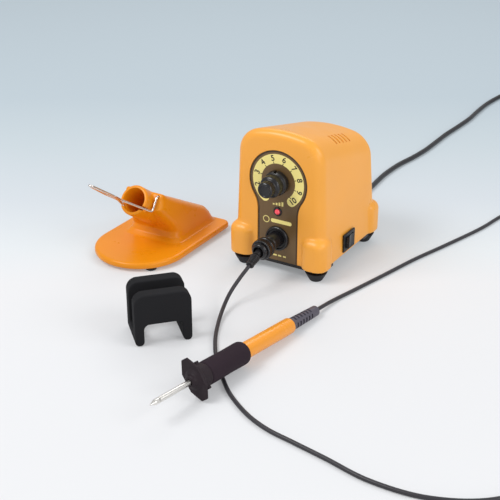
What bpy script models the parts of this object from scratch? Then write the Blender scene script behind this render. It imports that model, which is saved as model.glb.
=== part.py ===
"""Pen-type hot iron set: a heat-control station, its pen iron, a pen holder and a foam rest.

Sizes are in millimetres and turned into metres when an object is made. +Z is up and the
station's front faces -Y. Places on the table are measured from the station's centre, and
CENTRE moves the origin to the middle of the set's footprint.
"""

import math

import bmesh
import bpy
from mathutils import Matrix, Vector

MM = 0.001
GAP = 0.3  # between pieces that touch
CENTRE = Vector((-45.73, -111.98, 0.0))

# Station casing
FRONT_Y = -51.6
REAR_Y = 47.5  # at the underside
FLOOR_CLEAR = 10.5  # underside of the casing above the table
HALF_WIDTH = 41.0  # at the underside
SHOULDER_HALF_WIDTH = 37.6
SHOULDER_Z = 98.0
SHOULDER_R = 20.6
ROOF_FALL = 0.216  # drop of the roof for each millimetre towards the rear
REAR_LEAN = 6.5  # how far the rear wall leans forward by the roof
CROWN_ANGLE = math.radians(78)  # where the shoulder's arc meets the crowned top
EDGE_R = 8.0  # rounding of the front and rear edges
WALL = 3.2
LOBE_X = 32.5
LOBE_FRONT_Y = -46.0
LOBE_REAR_Y = 40.0
LOBE_HALF = 11.0
LOBE_CORNER_R = 8.5
LOBE_TOP = 37.0
LOBE_DOME = 7.0
VENTS = 5
VENT_PITCH = 5.9
VENT_WIDTH = 1.4
VENT_START_Y = -15.0
VENT_LENGTH = 10.4
VENT_ANGLE = math.radians(58)  # where the slots sit round the shoulder

# Base plate and feet
BASE_THICK = 2.5
BASE_INSET = 1.2
BASE_WAIST = 4.5  # inset of the plate between the front and rear feet
FOOT_TOP_R = 9.0
FOOT_BOTTOM_R = 4.6
FOOT_HOLE_R = 2.4
FOOT_COUNTERBORE_R = 3.6
FOOT_FLOOR = 3.0  # rubber left above the screw's head recess

# Front panel
DIAL_Z = 78.3
LAMP_Z = 53.3
SOCKET_Z = 30.4
PANEL_R = 25.4
PANEL_HALF_WIDTH = 17.8
PANEL_WAIST_R = 22.0
PANEL_THICK = 1.2
PANEL_SUNK = 0.5  # panel's face behind the casing's face

# Dial, potentiometer and lamp
KNOB_R = 10.0
KNOB_LENGTH = 21.5
KNOB_CAP_R = 6.4
KNOB_CLEAR = 0.8  # skirt's rim above the panel
SHAFT_R = 3.0
BUSHING_R = 3.9
NUT_R = 6.6
POT_R = 8.5
POT_DEPTH = 9.0
LENS_R = 2.2
LAMP_RIM_R = 3.6

# Socket and plug
FLANGE_R = 10.0
FLANGE_THICK = 2.6
SOCKET_BODY_R = 8.2
SOCKET_DEPTH = 14.0
PLUG_R = 6.3
PLUG_LENGTH = 18.5  # shell in front of the panel's face
RING_R = 8.4
RING_WALL = 3.3
RING_LENGTH = 8.5
BOOT_LENGTH = 16.0
BOOT_DROOP = math.radians(22)
BOOT_SOCKET_R = 4.3
IRON_CORD_R = 1.5

# Rocker switch on the right side
SWITCH_Y = -7.5
SWITCH_Z = 21.0
SWITCH_LENGTH = 19.5
SWITCH_HEIGHT = 15.5
SWITCH_RIM = 1.6
SWITCH_DEPTH = 12.0
ROCKER_TILT = math.radians(9)

# Mains lead
MAINS_X = -6.0
MAINS_Z = 20.0
MAINS_CORD_R = 2.35
BUSH_LENGTH = 26.0
BUSH_R = 6.0
COIL_AT = Vector((41.0, 520.0, 0.0))
COIL_INNER_R = 17.0
COIL_OUTER_R = 33.7
COIL_HEIGHT = 9.8

# Pen iron, along its own length from the point
PEN_POINT = Vector((38.5, -278.8, 16.9))
PEN_AXIS = Vector((0.1160, 0.9905, -0.0697)).normalized()
WING_AXIS = Vector((-0.61, 0.08, 0.78))
POINT_LENGTH = 5.5
ROD_R = 1.95
ROD_BORE_R = 1.15
GUARD_START = 35.5
GUARD_WING_AT = 41.5
GUARD_END = 52.0
WING_SPAN = 15.0
GRIP_R = 8.4
GRIP_END = 93.5
HANDLE_R = 6.0
HANDLE_BORE_R = 4.0
HANDLE_END = 149.0
RELIEF_END = 182.4
RELIEF_R = 4.7
RELIEF_END_R = 4.0

# Pen holder, from the centre of its round front
HOLDER_AT = Vector((-115.5, -75.0, 0.0))
BASE_R = 39.5
BASE_REAR = 77.0
BASE_LOW = 2.2
BASE_HIGH = 7.8
PAD_R = 4.5
TUBE_TILT = math.radians(35)
TUBE_MOUTH = Vector((0.0, -9.2, 49.9))
TUBE_R = 12.7
TUBE_BORE_R = 9.9
TUBE_BORE_DEPTH = 46.0
WIRE_R = 1.0
WIRE_HALF = TUBE_R + 2.2  # half the distance between the wire's legs
WIRE_BELOW = 4.85  # wire's plane below the tube's axis
WIRE_BEHIND = 8.8  # wire's legs behind the tube's mouth
WIRE_HOOK = 5.5
WIRE_PINCH = 20.0
WIRE_TIP = 60.8

# Foam rest
REST_AT = Vector((-25.0, -178.8, 0.0))
REST_TURN = math.radians(46.9)
REST_WIDTH = 41.5
REST_DEPTH = 32.0
REST_HEIGHT = 40.0
REST_PLATE = 9.5
REST_CORNER_R = 8.0
REST_LEG = 6.8
REST_ARCH_HEIGHT = 16.5
REST_CHANNEL_FLOOR = 9.0

# Cord routes, from the exit to the far end
IRON_ROUTE = [
    (-1.2, -100.6, 20.9), (-2.3, -105.6, 17.4), (-3.4, -110.9, 13.5), (-3.7, -117.2, 9.8),
    (-2.4, -125.2, 6.6), (0.4, -134.8, 4.1), (4.6, -145.8, 2.4),
    (12.4, -162.2, 1.6), (20.0, -175.0, 1.6), (28.0, -186.6, 1.6), (38.0, -198.6, 1.6),
    (50.1, -211.6, 1.6), (63.9, -224.4, 1.6), (83.8, -237.4, 1.6), (103.0, -245.0, 1.6),
    (123.0, -248.6, 1.6), (148.0, -253.0, 1.6), (180.0, -259.0, 1.6), (215.0, -256.0, 1.6),
    (247.0, -239.0, 1.6), (268.0, -208.0, 1.6), (274.0, -165.0, 1.6), (262.0, -110.0, 1.6),
    (243.0, -50.0, 1.6), (228.0, 15.0, 1.6), (217.0, 80.0, 1.6), (208.0, 140.0, 1.6),
    (194.0, 183.0, 1.6), (169.0, 204.0, 1.6), (143.0, 196.0, 1.6), (126.0, 172.0, 1.6),
    (118.0, 142.0, 1.6), (111.7, 108.7, 1.6), (98.2, 61.7, 1.6), (86.9, 25.1, 1.6),
    (77.4, -12.7, 1.6), (68.2, -48.4, 1.6), (63.7, -66.0, 1.8), (61.4, -80.0, 2.7),
]
MAINS_ROUTE = [
    (-6.1, 88.0, 18.4), (-6.6, 102.0, 12.6), (-7.4, 117.0, 6.4), (-8.3, 131.0, 3.2),
    (-9.2, 146.0, 2.5), (-10.6, 163.0, 2.5), (-11.6, 182.0, 2.5), (-10.4, 210.0, 2.5),
    (-6.4, 236.0, 2.5), (-3.8, 262.0, 2.5), (-3.4, 290.0, 2.5), (-3.2, 318.0, 2.5),
    (-1.4, 348.0, 2.5), (-0.2, 378.0, 2.5), (-1.4, 408.0, 2.5), (-1.6, 438.0, 2.5),
    (1.2, 468.0, 2.5), (5.2, 488.0, 2.5), (8.4, 502.0, 2.5),
]
TAIL_ROUTE = [(72.3, 502.2, 7.1), (72.9, 495.0, 6.0), (73.6, 488.0, 4.6), (73.8, 482.6, 4.0)]


# ---------------------------------------------------------------- making things

def material(name, colour, roughness, metallic=0.0):
    mat = bpy.data.materials.new(name)
    mat.use_nodes = True
    shader = mat.node_tree.nodes["Principled BSDF"]
    shader.inputs["Base Color"].default_value = (*colour, 1.0)
    shader.inputs["Roughness"].default_value = roughness
    shader.inputs["Metallic"].default_value = metallic
    return mat


def body_of(bm):
    """The bmesh with every face pointing out."""
    bmesh.ops.recalc_face_normals(bm, faces=bm.faces)
    return bm


def loft(rings, closed=False):
    """A body through rings of equal length: capped at both ends, or closed on itself."""
    bm = bmesh.new()
    rows = [[bm.verts.new(p) for p in ring] for ring in rings]
    pairs = list(zip(rows, rows[1:]))
    if closed:
        pairs.append((rows[-1], rows[0]))
    else:
        bm.faces.new(rows[0])
        bm.faces.new(rows[-1])
    for low, high in pairs:
        for i, corner in enumerate(low):
            j = (i + 1) % len(low)
            bm.faces.new((corner, low[j], high[j], high[i]))
    return body_of(bm)


def circle(radius, z, sides):
    steps = [2 * math.pi * k / sides for k in range(sides)]
    return [Vector((radius * math.cos(a), radius * math.sin(a), z)) for a in steps]


def turned(profile, sides=24, closed=False):
    """A profile of (radius, height) turned about Z; a closed one leaves a bore."""
    return loft([circle(r, z, sides) for r, z in profile], closed)


def block(low, high):
    """A box between two corners."""
    (x0, y0, z0), (x1, y1, z1) = low, high
    outline = [(x0, y0), (x1, y0), (x1, y1), (x0, y1)]
    return loft([[Vector((x, y, z)) for x, y in outline] for z in (z0, z1)])


def prism(outline, z0, z1):
    return loft([[Vector((x, y, z)) for x, y in outline] for z in (z0, z1)])


def arc(cx, cy, radius, start, end, steps):
    """Points on an arc, with angles in degrees."""
    angles = [math.radians(start + (end - start) * k / steps) for k in range(steps + 1)]
    return [(cx + radius * math.cos(a), cy + radius * math.sin(a)) for a in angles]


def rounded_rect(x0, y0, x1, y1, radius, steps=3):
    points = arc(x1 - radius, y0 + radius, radius, -90, 0, steps)
    points += arc(x1 - radius, y1 - radius, radius, 0, 90, steps)
    points += arc(x0 + radius, y1 - radius, radius, 90, 180, steps)
    points += arc(x0 + radius, y0 + radius, radius, 180, 270, steps)
    return points


def facing(direction, up=(0.0, 0.0, 1.0)):
    """A turn that takes +Z to the direction and +Y as near to up as it can."""
    z = Vector(direction).normalized()
    x = Vector(up).cross(z).normalized()
    return Matrix((x, z.cross(x), z)).transposed()


def moved(bm, at=(0.0, 0.0, 0.0), turn=None):
    if turn is not None:
        bm.transform(turn.to_4x4())
    bm.transform(Matrix.Translation(Vector(at)))
    return bm


def guide(name, bm):
    mesh = bpy.data.meshes.new(name)
    bm.to_mesh(mesh)
    bm.free()
    obj = bpy.data.objects.new(name, mesh)
    bpy.context.collection.objects.link(obj)
    return obj


def combine(body, tools, operation):
    """The body with each tool cut away or joined on, as a new bmesh."""
    host = guide("host", body)
    helpers = [guide("helper", tool) for tool in tools]
    for helper in helpers:
        step = host.modifiers.new("step", "BOOLEAN")
        step.operation = operation
        step.solver = "EXACT"
        step.object = helper
    bpy.context.view_layer.update()
    seen = host.evaluated_get(bpy.context.evaluated_depsgraph_get())
    result = bmesh.new()
    result.from_mesh(seen.to_mesh())
    seen.to_mesh_clear()
    for obj in [host, *helpers]:
        bpy.data.objects.remove(obj, do_unlink=True)
    return result


def cut(body, *tools):
    return combine(body, tools, "DIFFERENCE")


def join(body, *tools):
    return combine(body, tools, "UNION")


def finish(name, data, mat, at, turn):
    data.materials.append(mat)
    obj = bpy.data.objects.new(name, data)
    bpy.context.collection.objects.link(obj)
    obj.location = (Vector(at) - CENTRE) * MM
    if turn is not None:
        obj.rotation_euler = turn.to_euler()
    return obj


def piece(name, bm, mat, at=(0.0, 0.0, 0.0), turn=None):
    """A named object from a bmesh in millimetres, placed from the station's centre."""
    bm.transform(Matrix.Scale(MM, 4))
    mesh = bpy.data.meshes.new(name)
    bm.to_mesh(mesh)
    bm.free()
    mesh.shade_smooth()
    mesh.set_sharp_from_angle(angle=math.radians(35))
    return finish(name, mesh, mat, at, turn)


def tube(name, points, radius, mat, rounds=2):
    """A round bar along the points."""
    curve = bpy.data.curves.new(name, "CURVE")
    curve.dimensions = "3D"
    curve.bevel_depth = radius * MM
    curve.bevel_resolution = rounds
    curve.render_resolution_u = 0
    curve.use_fill_caps = True
    spline = curve.splines.new("POLY")
    spline.points.add(len(points) - 1)
    for place, p in zip(spline.points, points):
        place.co = (*(Vector(p) * MM), 1.0)
    return finish(name, curve, mat, (0.0, 0.0, 0.0), None)


def smooth_route(points, spacing):
    """Evenly spaced points on a smooth curve through the route's own points."""
    pts = [Vector(p) for p in points]
    pts = [2 * pts[0] - pts[1], *pts, 2 * pts[-1] - pts[-2]]
    fine = []
    for a, b, c, d in zip(pts, pts[1:], pts[2:], pts[3:]):
        for k in range(24):
            t = k / 24
            fine.append(0.5 * (2 * b + (c - a) * t + (2 * a - 5 * b + 4 * c - d) * t * t
                               + (3 * b - a - 3 * c + d) * t ** 3))
    fine.append(pts[-2])
    steps = [(q - p).length for p, q in zip(fine, fine[1:])]
    count = max(2, round(sum(steps) / spacing))
    result = [fine[0]]
    walked = 0.0
    for p, q, step in zip(fine, fine[1:], steps):
        while len(result) < count and walked + step >= sum(steps) * len(result) / count:
            share = (sum(steps) * len(result) / count - walked) / step
            result.append(p.lerp(q, share))
        walked += step
    result.append(fine[-1])
    return result


def filleted(points, radius, steps=3):
    """The points with each inner corner rounded."""
    pts = [Vector(p) for p in points]
    result = [pts[0]]
    for before, corner, after in zip(pts, pts[1:], pts[2:]):
        reach = min(radius, (before - corner).length / 2.2, (after - corner).length / 2.2)
        start = corner + (before - corner).normalized() * reach
        end = corner + (after - corner).normalized() * reach
        for k in range(steps + 1):
            t = k / steps
            result.append((1 - t) ** 2 * start + 2 * t * (1 - t) * corner + t * t * end)
    result.append(pts[-1])
    return result


# ---------------------------------------------------------------- station

OUT = facing((0.0, -1.0, 0.0))  # a turned piece that points out of the front
PANEL_Y = FRONT_Y + PANEL_SUNK
PANEL_BACK_Y = PANEL_Y + PANEL_THICK
INSIDE_Y = FRONT_Y + WALL
CROWN_SLOPE = math.cos(CROWN_ANGLE) / math.sin(CROWN_ANGLE)
BOOT_AXIS = Vector((-0.02, -math.cos(BOOT_DROOP), -math.sin(BOOT_DROOP))).normalized()
BOOT_ROOT = Vector((0.0, PANEL_Y - PLUG_LENGTH - RING_LENGTH - 1.2, SOCKET_Z - 0.2))


def side_x(z):
    """Outer half width of the casing's straight side at a height."""
    share = (z - FLOOR_CLEAR) / (SHOULDER_Z - FLOOR_CLEAR)
    return HALF_WIDTH + (SHOULDER_HALF_WIDTH - HALF_WIDTH) * share


def arch(inset, y, bottom):
    """The casing's outline at a depth: sides, shoulders and crowned top, moved in by inset."""
    radius = SHOULDER_R - inset
    centre_x = SHOULDER_HALF_WIDTH - SHOULDER_R
    back = (y - FRONT_Y) / (REAR_Y - FRONT_Y)
    shoulder_z = SHOULDER_Z - ROOF_FALL * (y - FRONT_Y)
    half = [(side_x(bottom) - inset, bottom)]
    half += arc(centre_x, shoulder_z, radius, 0, math.degrees(CROWN_ANGLE), 7)
    edge_x, edge_z = half[-1]
    for share in (0.72, 0.4):
        x = edge_x * share
        half.append((x, edge_z + CROWN_SLOPE * (edge_x ** 2 - x ** 2) / (2 * edge_x)))
    top = [(0.0, edge_z + CROWN_SLOPE * edge_x / 2)]
    outline = half + top + [(-x, z) for x, z in reversed(half)]
    lean = back * REAR_LEAN / (SHOULDER_Z - FLOOR_CLEAR)
    return [Vector((x, y - lean * (z - bottom), z)) for x, z in outline]


def keyhole(clear, y0, y1):
    """The panel's outline, a circle over a straight strip, between two depths."""
    radius = PANEL_R + clear
    half = PANEL_HALF_WIDTH + clear
    waist_r = PANEL_WAIST_R - clear
    drop = math.sqrt((radius + waist_r) ** 2 - (half + waist_r) ** 2)
    turn = math.degrees(math.asin(drop / (radius + waist_r)))
    right = arc(0, DIAL_Z, radius, 90, -turn, 14)[1:]
    right += arc(half + waist_r, DIAL_Z - drop, waist_r, 180 - turn, 180, 5)[1:]
    right.append((half, FLOOR_CLEAR - (20.0 if clear else 0.0)))
    outline = [(0.0, DIAL_Z + radius), *right, *[(-x, z) for x, z in reversed(right)]]
    return loft([[Vector((x, y, z)) for x, z in outline] for y in (y0, y1)])


def lobe(x, y):
    """A corner pillar with a domed top."""
    rings = [(0.0, FLOOR_CLEAR), (0.0, LOBE_TOP - LOBE_DOME)]
    for degrees in (30, 55, 78):
        a = math.radians(degrees)
        rings.append((LOBE_DOME * (1 - math.cos(a)), LOBE_TOP - LOBE_DOME * (1 - math.sin(a))))
    result = []
    for inset, z in rings:
        h = LOBE_HALF - inset
        radius = max(LOBE_CORNER_R - inset, 1.5)
        result.append([Vector((x + px, y + py, z)) for px, py in rounded_rect(-h, -h, h, h, radius, 4)])
    return loft(result)


def hole(radius, x, z, y0, y1, sides=20):
    """A round cutter along Y."""
    return moved(turned([(radius, 0), (radius, y1 - y0)], sides), (x, y1, z), OUT)


def vents(side):
    """Slots across a shoulder, one cutter for each."""
    cutters = []
    for k in range(VENTS):
        y = VENT_START_Y + k * VENT_PITCH
        slot = block((-VENT_LENGTH / 2, -VENT_WIDTH / 2, -6.0), (VENT_LENGTH / 2, VENT_WIDTH / 2, 6.0))
        lean = Matrix.Rotation(side * (math.pi / 2 - VENT_ANGLE), 3, "Y")
        x = SHOULDER_HALF_WIDTH - SHOULDER_R + SHOULDER_R * math.cos(VENT_ANGLE)
        z = SHOULDER_Z - ROOF_FALL * (y - FRONT_Y) + SHOULDER_R * math.sin(VENT_ANGLE)
        cutters.append(moved(slot, (side * x, y, z), lean))
    return cutters


def make_casing(mat):
    steps = [math.radians(a) for a in (0, 22.5, 45, 67.5, 90)]
    front = [(EDGE_R * (1 - math.sin(a)), FRONT_Y + EDGE_R * (1 - math.cos(a))) for a in steps]
    rear = [(EDGE_R * (1 - math.sin(a)), REAR_Y - EDGE_R * (1 - math.cos(a))) for a in reversed(steps)]
    shell = loft([arch(inset, y, FLOOR_CLEAR) for inset, y in front + rear])
    spots = [(x, y) for x in (-LOBE_X, LOBE_X) for y in (LOBE_FRONT_Y, LOBE_REAR_Y)]
    shell = join(shell, *[lobe(x, y) for x, y in spots])
    hollow = loft([arch(WALL, y, FLOOR_CLEAR - 5) for y in (INSIDE_Y, REAR_Y - WALL)])
    shell = cut(shell, hollow)
    recess = keyhole(GAP, FRONT_Y - 5, PANEL_BACK_Y + GAP)
    openings = [
        hole(BUSHING_R + GAP, 0, DIAL_Z, FRONT_Y - 2, INSIDE_Y + 2),
        hole(LENS_R + 1.2 + GAP, 0, LAMP_Z, FRONT_Y - 2, INSIDE_Y + 2),
        hole(SOCKET_BODY_R + GAP, 0, SOCKET_Z, FRONT_Y - 2, INSIDE_Y + 2, 24),
        hole(BUSH_R - 1 + GAP, MAINS_X, MAINS_Z, REAR_Y - WALL - 2, REAR_Y + 2),
    ]
    reach_y = SWITCH_LENGTH / 2 - SWITCH_RIM + GAP
    reach_z = SWITCH_HEIGHT / 2 - SWITCH_RIM + GAP
    openings.append(block((side_x(SWITCH_Z) - WALL - 3, SWITCH_Y - reach_y, SWITCH_Z - reach_z),
                          (side_x(SWITCH_Z) + 3, SWITCH_Y + reach_y, SWITCH_Z + reach_z)))
    shell = cut(shell, recess, *openings, *vents(1), *vents(-1))
    piece("casing", shell, mat)


def make_base(mat, rubber, steel):
    top = FLOOR_CLEAR - GAP
    low = top - BASE_THICK
    half = HALF_WIDTH - BASE_INSET
    waist = HALF_WIDTH - BASE_WAIST
    corner = 7.0
    front, rear = FRONT_Y + BASE_INSET, REAR_Y - BASE_INSET
    clear = LOBE_HALF + 4.0
    right = arc(half - corner, front + corner, corner, -90, 0, 3)
    right += [(half, LOBE_FRONT_Y + clear), (waist, LOBE_FRONT_Y + clear + 3),
              (waist, LOBE_REAR_Y - clear - 3), (half, LOBE_REAR_Y - clear)]
    right += arc(half - corner, rear - corner, corner, 0, 90, 3)
    plate = prism(right + [(-x, y) for x, y in reversed(right)], low, top)
    spots = {"fl": (-LOBE_X, LOBE_FRONT_Y), "fr": (LOBE_X, LOBE_FRONT_Y),
             "rl": (-LOBE_X, LOBE_REAR_Y), "rr": (LOBE_X, LOBE_REAR_Y)}
    screw_r = FOOT_HOLE_R - GAP
    piece("base_plate", plate, mat)
    foot_top = low - GAP
    for key, (x, y) in spots.items():
        profile = [(FOOT_HOLE_R, foot_top), (FOOT_TOP_R, foot_top), (FOOT_TOP_R - 0.6, foot_top - 1.4),
                   (FOOT_BOTTOM_R + 0.8, 0.6), (FOOT_BOTTOM_R, 0.0), (FOOT_COUNTERBORE_R, 0.0),
                   (FOOT_COUNTERBORE_R, foot_top - FOOT_FLOOR), (FOOT_HOLE_R, foot_top - FOOT_FLOOR)]
        piece(f"foot_{key}", turned(profile, 20, True), rubber, (x, y, 0))
        head = foot_top - FOOT_FLOOR - GAP
        screw = turned([(screw_r, foot_top - GAP), (screw_r, head), (FOOT_COUNTERBORE_R - GAP, head),
                        (FOOT_COUNTERBORE_R - GAP, head - 1.2), (2.0, head - 1.9)], 12)
        piece(f"foot_screw_{key}", screw, steel, (x, y, 0))


def make_panel(mat):
    panel = keyhole(0.0, PANEL_Y, PANEL_BACK_Y)
    panel = cut(panel, hole(BUSHING_R + GAP, 0, DIAL_Z, FRONT_Y - 2, INSIDE_Y),
                hole(LENS_R + 1.2 + GAP, 0, LAMP_Z, FRONT_Y - 2, INSIDE_Y),
                hole(SOCKET_BODY_R + GAP, 0, SOCKET_Z, FRONT_Y - 2, INSIDE_Y, 24))
    piece("front_panel", panel, mat)


def make_dial(black, steel):
    base = KNOB_CLEAR
    nut_room = 3.8
    profile = [(NUT_R + 1.0, nut_room + base), (NUT_R + 1.0, base),
               (KNOB_R - 0.6, base), (KNOB_R, base + 0.8), (KNOB_R - 0.3, base + 4.6),
               (KNOB_R - 1.9, base + 5.4), (KNOB_R - 1.9, base + 7.2), (KNOB_R - 1.2, base + 7.9),
               (KNOB_R - 1.2, base + 12.6), (KNOB_R - 2.2, base + 13.6), (KNOB_CAP_R, base + 14.2),
               (KNOB_CAP_R, KNOB_LENGTH - 0.9), (KNOB_CAP_R - 0.9, KNOB_LENGTH), (1.0, KNOB_LENGTH)]
    shaft_end = base + 13.0
    solid = turned(profile, 32)
    bore = turned([(SHAFT_R + GAP, base), (SHAFT_R + GAP, shaft_end + GAP)], 16)
    notch = block((-1.1, KNOB_R - 2.6, base - 1), (1.1, KNOB_R + 2, base + 5.2))
    knob = cut(solid, bore, notch)
    at = (0, PANEL_Y, DIAL_Z)
    piece("dial_knob", knob, black, at, OUT)
    reach = INSIDE_Y - PANEL_Y
    shaft = turned([(SHAFT_R, -reach - GAP - POT_DEPTH + 2), (SHAFT_R, shaft_end)], 16)
    piece("pot_shaft", shaft, steel, at, OUT)


def make_potentiometer(dark, steel):
    reach = INSIDE_Y - PANEL_Y + GAP
    bore = SHAFT_R + GAP
    profile = [(bore, 3.0), (BUSHING_R, 3.0), (BUSHING_R, -reach), (POT_R, -reach),
               (POT_R, -reach - POT_DEPTH), (bore, -reach - POT_DEPTH)]
    piece("pot_body", turned(profile, 20, True), dark, (0, PANEL_Y, DIAL_Z), OUT)
    nut = loft([circle(NUT_R, GAP, 6), circle(NUT_R, 2.4, 6)])
    nut = cut(nut, turned([(BUSHING_R + GAP, -1), (BUSHING_R + GAP, 4)], 20))
    piece("pot_nut", nut, steel, (0, PANEL_Y, DIAL_Z), OUT)


def make_lamp(dark, red):
    rim = [(LENS_R + GAP, 1.1), (LAMP_RIM_R, 0.9), (LAMP_RIM_R + 0.3, GAP), (LENS_R + 1.2, GAP),
           (LENS_R + 1.2, -5.0), (LENS_R + GAP, -5.0)]
    piece("lamp_holder", turned(rim, 20, True), dark, (0, PANEL_Y, LAMP_Z), OUT)
    lens = [(LENS_R, -6.0), (LENS_R, 1.0)]
    lens += [(LENS_R * math.cos(a), 1.0 + 1.5 * math.sin(a)) for a in (0.45, 0.9, 1.3)]
    piece("lamp_lens", turned(lens, 16), red, (0, PANEL_Y, LAMP_Z), OUT)


def make_socket(dark, black):
    """The socket's body goes through the wall, and its flange clamps it from the front."""
    at = (0, PANEL_Y, SOCKET_Z)
    bore = PLUG_R + GAP
    body = [(bore, 1.6), (SOCKET_BODY_R, 1.6), (SOCKET_BODY_R, -SOCKET_DEPTH), (2.0, -SOCKET_DEPTH),
            (2.0, -7.0), (bore, -7.0)]
    piece("socket_body", turned(body, 24, True), dark, at, OUT)
    inner = SOCKET_BODY_R + GAP
    flange = [(inner, GAP), (FLANGE_R + 0.4, GAP), (FLANGE_R, FLANGE_THICK - 0.5),
              (FLANGE_R - 0.7, FLANGE_THICK), (inner, FLANGE_THICK)]
    piece("socket_flange", turned(flange, 32, True), black, at, OUT)


def make_plug(black):
    """The shell enters the socket, the ring turns on the shell's neck, and the boot droops."""
    at = (0, PANEL_Y, SOCKET_Z)
    ring_start = PLUG_LENGTH
    ring_end = ring_start + RING_LENGTH
    neck = RING_R - RING_WALL
    shell = [(PLUG_R - 0.6, -6.0), (PLUG_R, -5.4), (PLUG_R, ring_start - 0.8),
             (PLUG_R - 0.6, ring_start - GAP), (neck, ring_start - GAP), (neck, ring_end + GAP),
             (PLUG_R + 0.4, ring_end + GAP), (PLUG_R + 0.2, ring_end + 1.7),
             (PLUG_R - 0.7, ring_end + 3.0), (BOOT_SOCKET_R, ring_end + 3.5),
             (BOOT_SOCKET_R, ring_end - 0.4)]
    piece("plug_shell", turned(shell, 24), black, at, OUT)
    ring = [(neck + GAP, ring_start), (RING_R - 0.5, ring_start), (RING_R, ring_start + 0.7),
            (RING_R, ring_end - 0.7), (RING_R - 0.5, ring_end), (neck + GAP, ring_end)]
    piece("plug_ring", turned(ring, 32, True), black, at, OUT)
    bore = IRON_CORD_R + GAP + 0.2
    neck_r = BOOT_SOCKET_R - 1.4
    boot = [(bore, 0), (neck_r, 0), (neck_r, 4.8), (3.9, 6.2), (3.7, 8.0), (2.9, BOOT_LENGTH - 3.0),
            (3.2, BOOT_LENGTH - 2.4), (3.2, BOOT_LENGTH - 0.5), (2.8, BOOT_LENGTH), (bore, BOOT_LENGTH)]
    piece("plug_boot", turned(boot, 16, True), black, BOOT_ROOT, facing(BOOT_AXIS))


def make_switch(black):
    """A rocker in a frame; the rocker tips about an upright pin."""
    face = side_x(SWITCH_Z - SWITCH_HEIGHT / 2) + GAP
    hy = SWITCH_LENGTH / 2
    hz = SWITCH_HEIGHT / 2
    frame = join(block((face, -hy, -hz), (face + SWITCH_RIM, hy, hz)),
                 block((face - SWITCH_DEPTH, -hy + SWITCH_RIM, -hz + SWITCH_RIM),
                       (face + SWITCH_RIM / 2, hy - SWITCH_RIM, hz - SWITCH_RIM)))
    well = 1.1  # wall of the frame round the rocker
    frame = cut(frame, block((face - SWITCH_DEPTH + 1.5, -hy + SWITCH_RIM + well, -hz + SWITCH_RIM + well),
                             (face + 5, hy - SWITCH_RIM - well, hz - SWITCH_RIM - well)))
    piece("switch_frame", frame, black, (0, SWITCH_Y, SWITCH_Z))
    half = hy - SWITCH_RIM - well - 0.9
    outline = [(4.4, -half), (3.0, 0.0), (4.4, half), (0.6, half), (-3.0, half * 0.66),
               (-4.0, 0.0), (-3.0, -half * 0.66), (0.6, -half)]
    deep = hz - SWITCH_RIM - well - GAP
    rocker = prism(outline, -deep, deep)
    piece("switch_rocker", rocker, black, (face - 1.6, SWITCH_Y, SWITCH_Z),
          Matrix.Rotation(ROCKER_TILT, 3, "Z"))


def make_insides(steel, copper, board_mat, metal, dark):
    floor = FLOOR_CLEAR
    core_at = Vector((0, 20, floor))
    core = block((-25, -10, 0), (25, 10, 42))
    core = cut(core, block((-17, -12, 8), (-8, 12, 34)), block((8, -12, 8), (17, 12, 34)))
    piece("transformer_core", core, steel, core_at)
    low, high = 8 + GAP, 34 - GAP
    coil = cut(block((-17 + GAP, -16, low), (17 - GAP, 16, high)), block((-8 - GAP, -10 - GAP, 0), (8 + GAP, 10 + GAP, 42)))
    piece("transformer_coil", coil, copper, core_at)
    board_z = floor + 8.0
    posts = {"fl": (-31, -40), "fr": (20, -40), "rl": (-31, -12), "rr": (20, -12)}
    for key, (x, y) in posts.items():
        piece(f"board_post_{key}", turned([(2.4, 0), (2.4, board_z - floor - GAP)], 10), metal,
              (x, y, floor))
    piece("circuit_board", block((-35, -44, 0), (24, -8, 1.6)), board_mat, (0, 0, board_z))
    on_board = board_z + 1.6 + GAP
    sink = block((-10, -1.5, 0), (10, 1.5, 22))
    fins = [block((x - 0.8, 1.0, 0), (x + 0.8, 7.0, 22)) for x in (-8, -3, 3, 8)]
    piece("heat_sink", join(sink, *fins), metal, (-8, -20, on_board))
    piece("capacitor", turned([(5.0, 0), (5.0, 17), (4.4, 17.6)], 16), dark, (-28, -28, on_board))


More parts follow.
